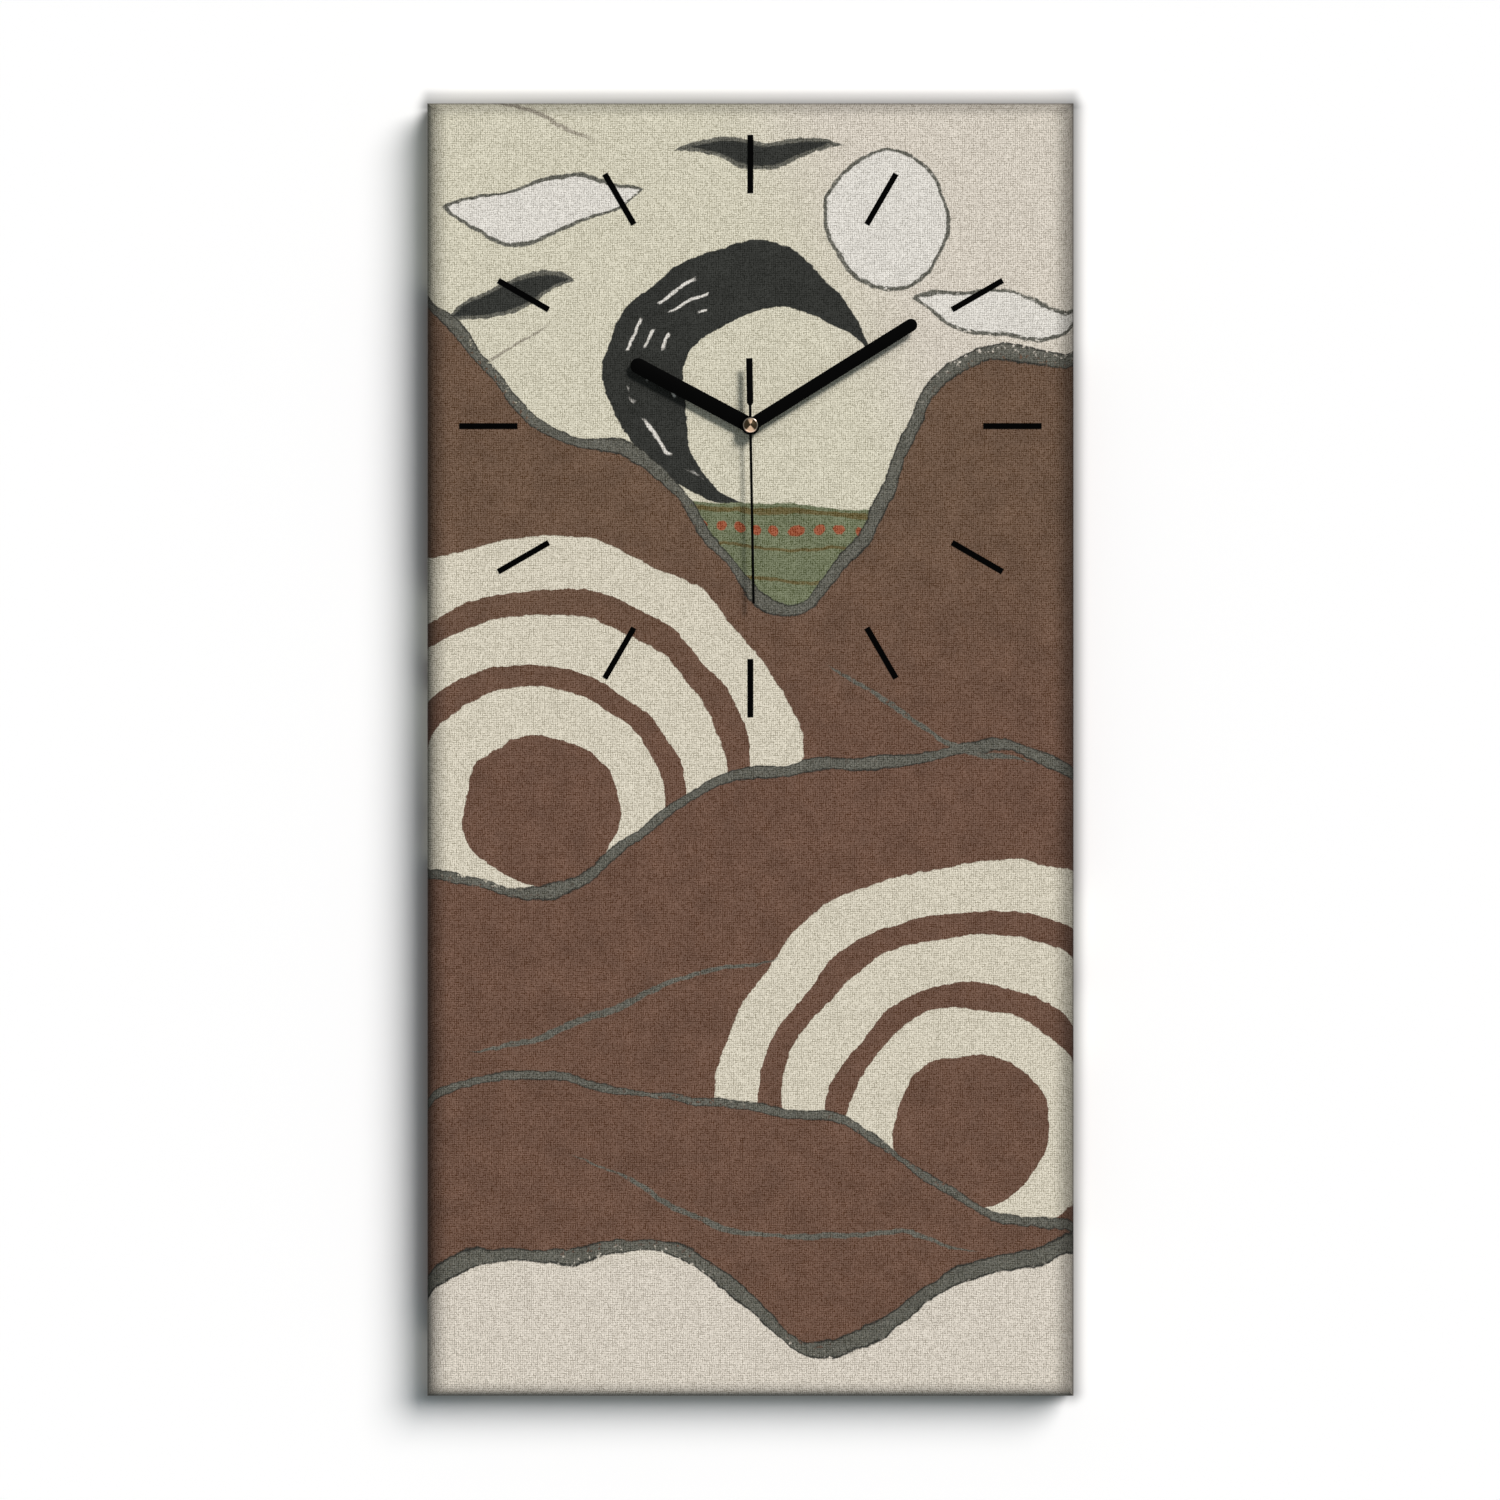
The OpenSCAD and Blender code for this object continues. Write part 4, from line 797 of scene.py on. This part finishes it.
def cloth_profile():
    """How the cloth leaves the front at its flat part's edge: for each step the length of cloth
    used, the way out from the flat part's edge and the depth y. It rolls over the front edge,
    runs down the side, turns round the back edge and lies inward as a flap."""
    roll = np.linspace(0, math.pi / 2, 9)
    fold = np.linspace(0, math.pi / 2, 5)[1:]
    side = flap = np.linspace(0, 1, 7)[1:]
    back_mid = FRAME_BACK - CLOTH_MID
    roll_y = CANVAS_FRONT + CLOTH_MID + EDGE_ROLL
    side_len = back_mid - BACK_ROLL - roll_y
    flap_len = FLAP - CLOTH_MID - BACK_ROLL
    used = [roll * EDGE_ROLL, side * side_len, fold * BACK_ROLL, flap * flap_len]
    start = np.cumsum([0] + [u[-1] for u in used[:-1]])
    used = np.concatenate([s + u for s, u in zip(start, used)])
    out = np.concatenate([
        EDGE_ROLL * np.sin(roll), 0 * side + EDGE_ROLL,
        EDGE_ROLL - BACK_ROLL * (1 - np.cos(fold)), EDGE_ROLL - BACK_ROLL - flap * flap_len
    ])
    depth = np.concatenate([
        roll_y - EDGE_ROLL * np.cos(roll), roll_y + side * side_len,
        back_mid - BACK_ROLL * (1 - np.sin(fold)), 0 * flap + back_mid
    ])
    return used, out, depth


PATCH, PATCH_STEP, GRID_STEP = 10, 2.5, 5   # half of the square round the bush, and line spacings


def cloth_lines(half, middle):
    """Places of the grid's lines over the flat front, closer together round the dial's middle."""
    near = np.arange(-PATCH, PATCH + 0.1, PATCH_STEP) + middle
    below = np.linspace(-half, near[0], int((near[0] + half) / GRID_STEP) + 1)
    above = np.linspace(near[-1], half, int((half - near[-1]) / GRID_STEP) + 1)
    return np.concatenate([below[:-1], near, above[1:]])


def make_cloth():
    """The canvas as one sheet: a flat front with a round hole for the movement's bush, and four
    edges that follow the cloth's profile, joined at their mitres."""
    a, b = (size / 2 - CLOTH_MID - EDGE_ROLL for size in (CANVAS_W, CANVAS_H))
    dial_up = DIAL_Z - MID_Z
    xs, zs = cloth_lines(a, 0), cloth_lines(b, dial_up)
    front_y = CANVAS_FRONT + CLOTH_MID
    gx, gz = np.meshgrid(xs, zs)
    points = [np.column_stack([gx.ravel(), np.full(gx.size, front_y), gz.ravel()])]
    flat = [np.column_stack([gx.ravel(), gz.ravel()])]
    quads = grid_faces(len(zs), len(xs))
    cx, cz = (gx[:-1, :-1] + gx[1:, 1:]).ravel() / 2, (gz[:-1, :-1] + gz[1:, 1:]).ravel() / 2
    clear = (abs(cx) > PATCH) | (abs(cz - dial_up) > PATCH)
    faces, count = quads[clear].tolist(), gx.size

    # Ring of faces between the bush's hole and the square left out of the grid
    step = np.arange(-PATCH, PATCH, PATCH_STEP)
    end = np.full(len(step), PATCH)
    square = np.concatenate([
        np.column_stack(side) for side in ((step, -end), (end, step), (-step, end), (-end, -step))
    ])
    circle = BUSH_HOLE * square / np.linalg.norm(square, axis=1)[:, None]
    share = np.array([0, 0.12, 0.35, 0.65, 1.0])[:, None, None]
    ring = (circle + (square - circle) * share).reshape(-1, 2) + np.array([0, dial_up])
    points.append(np.column_stack([ring[:, 0], np.full(len(ring), front_y), ring[:, 1]]))
    flat.append(ring)
    faces += (ring_faces(len(share), len(square)) + count).tolist()
    count += len(ring)

    # The four edges: lifted a little between the staples, and cut by hand
    used, out, depth = cloth_profile()
    lift, held = 0.42, 2               # most rise, and cloth held flat past the staples
    for lines, half, other, upright, pitch in (
        (zs, a, b, True, STILE_PITCH), (xs, b, a, False, RAIL_PITCH)
    ):
        for side in (-1, 1):
            u, s = np.meshgrid(used, lines, indexing="ij")
            o, y = (np.repeat(row[:, None], len(lines), axis=1) for row in (out, depth))
            along = s * (other + o) / other
            phase = 0 if upright else pitch / 2
            free = np.clip((used[-1] - FLAP / 2 + held - u) / (held - FLAP / 2), 0, 1)
            between = np.sin(math.pi * (along - phase) / pitch) ** 2
            y += lift * free ** 2 * between
            tip = np.zeros_like(o)
            tip[-1] = 0.5 * np.sin(along[-1] / 23 + side) + 0.3 * np.sin(along[-1] / 7.7)
            away = side * (half + o + tip)
            columns = (away, y, along) if upright else (along, y, away)
            points.append(np.column_stack([c.ravel() for c in columns]))
            place = (side * (half + u), s) if upright else (s, side * (half + u))
            flat.append(np.column_stack([c.ravel() for c in place]))
            faces += (grid_faces(len(used), len(lines)) + count).tolist()
            count += u.size
    points = np.concatenate(points) + np.array([0, 0, MID_Z])
    cloth = put_mesh("canvas_cloth", points, faces, CANVAS, flat=np.concatenate(flat))
    thick = cloth.modifiers.new("thickness", "SOLIDIFY")
    thick.thickness, thick.offset, thick.use_even_offset = CLOTH_T * MM, 0, True
    return cloth, (2 * (a + used[-1]), 2 * (b + used[-1]))


def make_corner_folds():
    """The four corners' spare cloth, folded to triangles over the flaps' mitres."""
    leg, thick, rounding, clear = 23.6, 0.92, 0.3, 0.04
    pieces = []
    for sx, sz in ((-1, -1), (1, -1), (1, 1), (-1, 1)):
        outline = np.array([[0.4, 0.4], [leg, 0.4], [leg - 0.6, 1.4], [1.4, leg - 0.6], [0.4, leg]])
        points, faces = plate(outline, thick, rounding)
        across, up, forward = points.T
        placed = np.column_stack([
            sx * (CANVAS_W / 2 - across), FRAME_BACK + clear + forward,
            MID_Z + sz * (CANVAS_H / 2 - up)
        ])
        flat = np.column_stack([
            sx * (CANVAS_W / 2 + PRINT_END + across), sz * (CANVAS_H / 2 + PRINT_END + up)
        ])
        name = ("left_" if sx < 0 else "right_") + ("lower" if sz < 0 else "upper") + "_corner_fold"
        pieces.append(put_mesh(name, placed, faces, CANVAS, flat=flat))
    return pieces


cloth, cloth_size = make_cloth()
folds = make_corner_folds()
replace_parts(cloth, "canvas_wrap")
for fold in folds:
    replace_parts(fold, "canvas_wrap")


# Hands and cap


def bar_outline(middle_r, w, length):
    """Round-ended bar pointing up from a round middle, anticlockwise."""
    join = math.degrees(math.acos(w / 2 / middle_r))
    return np.concatenate([
        arc((0, 0), middle_r, 180 - join, 360 + join, 40),
        arc((0, length - w / 2), w / 2, 0, 180, 20)
    ])


def needle_outline(middle_r, w, length, tail_w, tail_from, tail_len, shoulder):
    """Needle pointing up, with a broad square tail that begins at a short shoulder."""
    join = math.degrees(math.acos(w / 2 / middle_r))
    half, broad = w / 2, tail_w / 2
    tail = [
        (-half, -tail_from + shoulder), (-broad, -tail_from), (-broad, -tail_len),
        (broad, -tail_len), (broad, -tail_from), (half, -tail_from + shoulder)
    ]
    return np.concatenate([
        arc((0, 0), middle_r, 180 - join, 180 + join, 16), tail,
        arc((0, 0), middle_r, 360 - join, 360 + join, 16), [(half, length), (-half, length)]
    ])


def make_hand(name, node, body, outline, bore, angle):
    """A stamped hand with softened edges, as deep as the CAD node that it stands for."""
    low, high = box(node)
    points, faces = plate(outline, high.y - low.y, 0.12, [arc((0, 0), bore, 0, 360, 32)[:-1]])
    placed = on_dial(points, high.y, angle)
    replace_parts(put_mesh(name, placed, faces, BLACK_HAND, body, 50), node)


def make_cap():
    """The turned cap: a short disc with a bevelled rim, a shallow dish and a boss in its middle."""
    profile = [(0, 0), (0.55, 0), (3.25, 0), (3.4, 0.1), (3.45, 0.25), (3.45, 1.05), (3.4, 1.2),
               (3.15, 1.38), (3.05, 1.4), (2.92, 1.3), (2.8, 1.22), (1.35, 1.3), (1.2, 1.36),
               (0.6, 1.38), (0.5, 1.3), (0, 1.28)]
    points, faces = revolve(profile, 96)
    cap = put_mesh("turned_cap", on_dial(points, box("hub_cap")[1].y), faces, turned_copper(),
                   "second_train", 28)
    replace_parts(cap, "hub_cap")


make_hand("hour_hand_blade", "hour_hand", "hour_train",
          bar_outline(middle_r=4.25, w=7.2, length=62.5), 2.32, 298)
make_hand("minute_hand_blade", "minute_hand", "minute_train",
          bar_outline(middle_r=4.15, w=5.9, length=90.5), 1.32, 58)
make_hand("second_hand_blade", "second_hand", "second_train",
          needle_outline(middle_r=4.05, w=1.25, length=82.5, tail_w=3.0, tail_from=10.3,
                         tail_len=31, shoulder=1.2), 0.62, 179)
make_cap()


# Small hardware on the back


def make_staples():
    """Round-wire staples over the flap: each a wire along a bridge with rounded corners."""
    wire_r, half, bend, leg, around = 0.3, 4.7, 0.6, 7.6, 10
    turn = np.linspace(math.pi, math.pi / 2, 5)
    left = np.column_stack([bend - half + bend * np.cos(turn), -bend + bend * np.sin(turn)])
    path = np.concatenate([[(-half, -leg)], left, (left * [-1, 1])[::-1], [(half, -leg)]])
    along = np.gradient(path, axis=0)
    along /= np.linalg.norm(along, axis=1)[:, None]
    out = np.column_stack([-along[:, 1], along[:, 0]])
    ring = np.linspace(0, 2 * math.pi, around, endpoint=False)
    flat = path[:, None, :] + wire_r * np.cos(ring)[None, :, None] * out[:, None, :]
    rise = np.broadcast_to(wire_r * np.sin(ring), flat.shape[:2])
    points = np.stack([flat[..., 0], flat[..., 1], rise], axis=-1).reshape(-1, 3)
    faces = ring_faces(len(path), around).tolist()
    faces += [list(range(around)), list(range(len(points) - around, len(points)))]
    y = FRAME_BACK + wire_r
    rail, stile = (
        (np.arange(count) - (count - 1) / 2) * pitch
        for count, pitch in ((RAIL_STAPLES, RAIL_PITCH), (STILE_STAPLES, STILE_PITCH))
    )
    up, across = CANVAS_H / 2 - STAPLE_IN, CANVAS_W / 2 - STAPLE_IN
    places = [(x, y, MID_Z + side * up, False) for side in (1, -1) for x in rail]
    places += [(side * across, y, MID_Z + z, True) for side in (-1, 1) for z in stile]
    points, faces = repeat(points, faces, places)
    staples = put_mesh("wire_staples", points, faces, STAPLE_WIRE, sharp=50)
    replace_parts(staples, "canvas_staples")


def make_bumpers():
    """Domed rubber feet that stand on the wall: a small quarter round at the foot and a flatter
    one over the dome, turned."""
    turn = np.linspace(0, math.pi / 2, 9)
    foot = np.column_stack([4.6 + 0.4 * np.sin(turn[::2]), 0.4 - 0.4 * np.cos(turn[::2])])
    dome = np.column_stack([3.2 + 1.8 * np.cos(turn), 0.7 + 1.27 * np.sin(turn)])
    points, faces = revolve(np.concatenate([[(0, 0)], foot, dome, [(0, 1.98)]]), 48)
    for side, name in ((-1, "left_wall_bumper"), (1, "right_wall_bumper")):
        placed = on_dial(points * [1, 1, -1], FRAME_BACK, 0, (side * BUMPER_X, BUMPER_Z))
        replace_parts(put_mesh(name, placed, faces, BUMPER), "wall_bumpers")


def make_pad():
    """Foam tape between the movement and the board, a little swollen round its cut edge."""
    low, high = box("foam_pad")
    width = high.x - low.x - 0.1
    points, faces = plate(round_rect(width, width, 3), high.y - low.y, 0.42,
                          [arc((0, 0), 4.3, 0, 360, 32)[:-1]], 4)
    pad = put_mesh("foam_tape", on_dial(points, high.y), faces, FOAM)
    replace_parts(pad, "foam_pad")


def make_battery():
    """A size AA cell: drawn can with a rolled shoulder and a tip, and its printed film."""
    low, high = box("battery_can")
    film_low, film_high = box("battery_sleeve")
    x0, x1 = low.x, high.x
    y, z = (low.y + high.y) / 2, (low.z + high.z) / 2
    r = (high.z - low.z) / 2
    body = x1 - 1.1
    can = [(0, x0 + 0.25), (r - 1.6, x0 + 0.25), (r - 1.1, x0), (r - 0.45, x0), (r, x0 + 0.5),
           (r, body - 0.6), (r - 0.5, body), (3.6, body), (3.2, body - 0.15), (2.95, body - 0.1),
           (2.75, body + 0.1), (2.75, x1 - 0.4), (2.35, x1), (0, x1)]
    film_r = (film_high.z - film_low.z) / 2
    f0, f1 = film_low.x, film_high.x
    film = [(r + 0.02, f0), (film_r - 0.03, f0), (film_r, f0 + 0.08), (film_r, f1 - 0.08),
            (film_r - 0.03, f1), (r + 0.02, f1), (r + 0.02, f0)]
    for name, node, profile, finish, slot in (
        ("cell_can", "battery_can", can, CAN_STEEL, "battery_steel"),
        ("cell_film", "battery_sleeve", film, battery_wrapper(), "battery_wrap")
    ):
        points, faces = revolve(profile, 72)
        placed = np.column_stack([points[:, 2], y + points[:, 0], z + points[:, 1]])
        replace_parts(put_mesh(name, placed, faces, finish, "battery", 40), node)


def make_knob():
    """The setting knob: a short wheel with softened edges, its radius drawn in at each flute."""
    low, high = box("setting_knob")
    outer_r, flute_depth, flutes = 4.2, 0.32, 24
    turn = np.linspace(0, 2 * math.pi, 8 * flutes, endpoint=False)
    r = outer_r - flute_depth * np.clip(np.cos(flutes * turn), 0, 1) ** 1.5
    outline = np.column_stack([r * np.cos(turn), r * np.sin(turn)])
    points, faces = plate(outline, high.y - low.y, 0.35)
    middle = (low + high) / 2
    knob = put_mesh("fluted_knob", on_dial(points, high.y, 0, (middle.x, middle.z)), faces,
                    ABS, "setting_stem", 50)
    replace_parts(knob, "setting_knob")


make_staples()
make_bumpers()
make_pad()
make_battery()
make_knob()


# Wall, light and camera


def make_wall():
    """White wall behind the clock, seen from the front only, with painted shade close round the
    clock.
    """
    made = bpy.data.materials.new("white wall")
    made.use_nodes = True
    tree = made.node_tree
    tree.nodes.clear()
    parts = split(tree, own_place(tree))
    x, z = parts[0] / MM, parts[2] / MM - MID_Z
    dx, dz = (abs(x) - CANVAS_W / 2).most(0), (abs(z) - CANVAS_H / 2).most(0)
    # Painted shade along the clock's outline, deeper on the side toward the light, with an extra
    # band above the top
    near = dx.hypot(dz).ramp(9.5, -0.5) ** 1.3
    toward_light = x / CANVAS_W + z / CANVAS_H
    above = z - CANVAS_H / 2
    top_shade = above.ramp(-1, 0.5) * above.ramp(10.5, 6) * dx.ramp(6, 0) * 0.27
    grey = (1 - near * (toward_light.ramp(-0.5, 0.5) * 0.2 + 0.54)) * (1 - top_shade)
    paint = wire(tree, "ShaderNodeCombineXYZ", grey, grey, grey)
    diffuse = wire(tree, "ShaderNodeBsdfDiffuse", paint)
    clear = wire(tree, "ShaderNodeBsdfTransparent")
    behind = tree.nodes.new("ShaderNodeNewGeometry").outputs["Backfacing"]
    shown = wire(tree, "ShaderNodeMixShader", behind, diffuse, clear)
    out = tree.nodes.new("ShaderNodeOutputMaterial")
    tree.links.new(shown, out.inputs["Surface"])
    mesh = bpy.data.meshes.new("wall")
    reach = 3.0
    mesh.from_pydata([
        (-reach, 0, -reach), (reach, 0, -reach), (reach, 0, reach), (-reach, 0, reach)
    ], [], [(0, 1, 2, 3)])
    mesh.materials.append(made)
    wall = put("wall", mesh)
    wall.visible_shadow = wall.visible_diffuse = wall.visible_glossy = False
    return wall


def make_sun(name, toward, level, spread, colour=(1, 1, 1), wall=None, on_wall=False):
    """A soft sun along a direction, its disc this many degrees wide. It brings a surface square to
    the wall's normal to the level. Where a wall is given, it lights that alone or all but that."""
    lamp = bpy.data.lights.new(name, "SUN")
    toward = Vector(toward).normalized()
    lamp.energy = level * math.pi / abs(toward.y)
    lamp.angle, lamp.color = math.radians(spread), colour
    sun = put(name, lamp)
    sun.rotation_euler = toward.to_track_quat("-Z", "Y").to_euler()
    if wall:
        lit = bpy.data.collections.new(name + "_reach")
        lit.objects.link(wall)
        lit.collection_objects[0].light_linking.link_state = "INCLUDE" if on_wall else "EXCLUDE"
        sun.light_linking.receiver_collection = lit


def make_sky(fill, colour):
    """White to the camera and in reflections, and an even, cool fill light on everything else."""
    world = bpy.data.worlds.new("soft room")
    world.use_nodes = True
    bpy.context.scene.world = world
    tree = world.node_tree
    rays = tree.nodes.new("ShaderNodeLightPath").outputs
    seen = Reading(tree, rays["Is Camera Ray"]).most(rays["Is Glossy Ray"])
    seen = seen.most(rays["Is Transmission Ray"])
    shown = blend(tree, seen, (*[fill * c for c in colour], 1), (1, 1, 1, 1))
    feed(tree, tree.nodes["Background"].inputs["Color"], shown)


# The room's cool fill and the suns' warm light add up to plain white on a surface square to them.
# Two suns from the upper right light the clock, one the wall alone, and one the clock's back.
FILL, COOL = 0.25, (0.88, 0.99, 1.04)
SUN = 1 - FILL
WARM = [(1 - FILL * c) / SUN for c in COOL]
KEY_SHARE = 0.82
wall = make_wall()
make_sky(FILL, COOL)
make_sun("key_sun", (-0.56, 1.0, -0.77), SUN * KEY_SHARE, 14, WARM, wall)
make_sun("high_sun", (-0.85, 1.0, -1.20), SUN * (1 - KEY_SHARE), 30, WARM, wall)
make_sun("wall_sun", (-0.70, 1.0, -0.61), SUN, 39, WARM, wall, on_wall=True)
make_sun("rear_sun", (0.38, -1.0, -0.34), SUN, 30, WARM)

lens = bpy.data.cameras.new("camera")
lens.lens, lens.sensor_width = 135, 36
camera = put("camera", lens)
camera.location = (-0.0002, -2.632, -0.2862)
camera.rotation_euler = (math.radians(90), 0, 0)
bpy.context.scene.camera = camera
bpy.context.scene.view_settings.view_transform = "Standard"
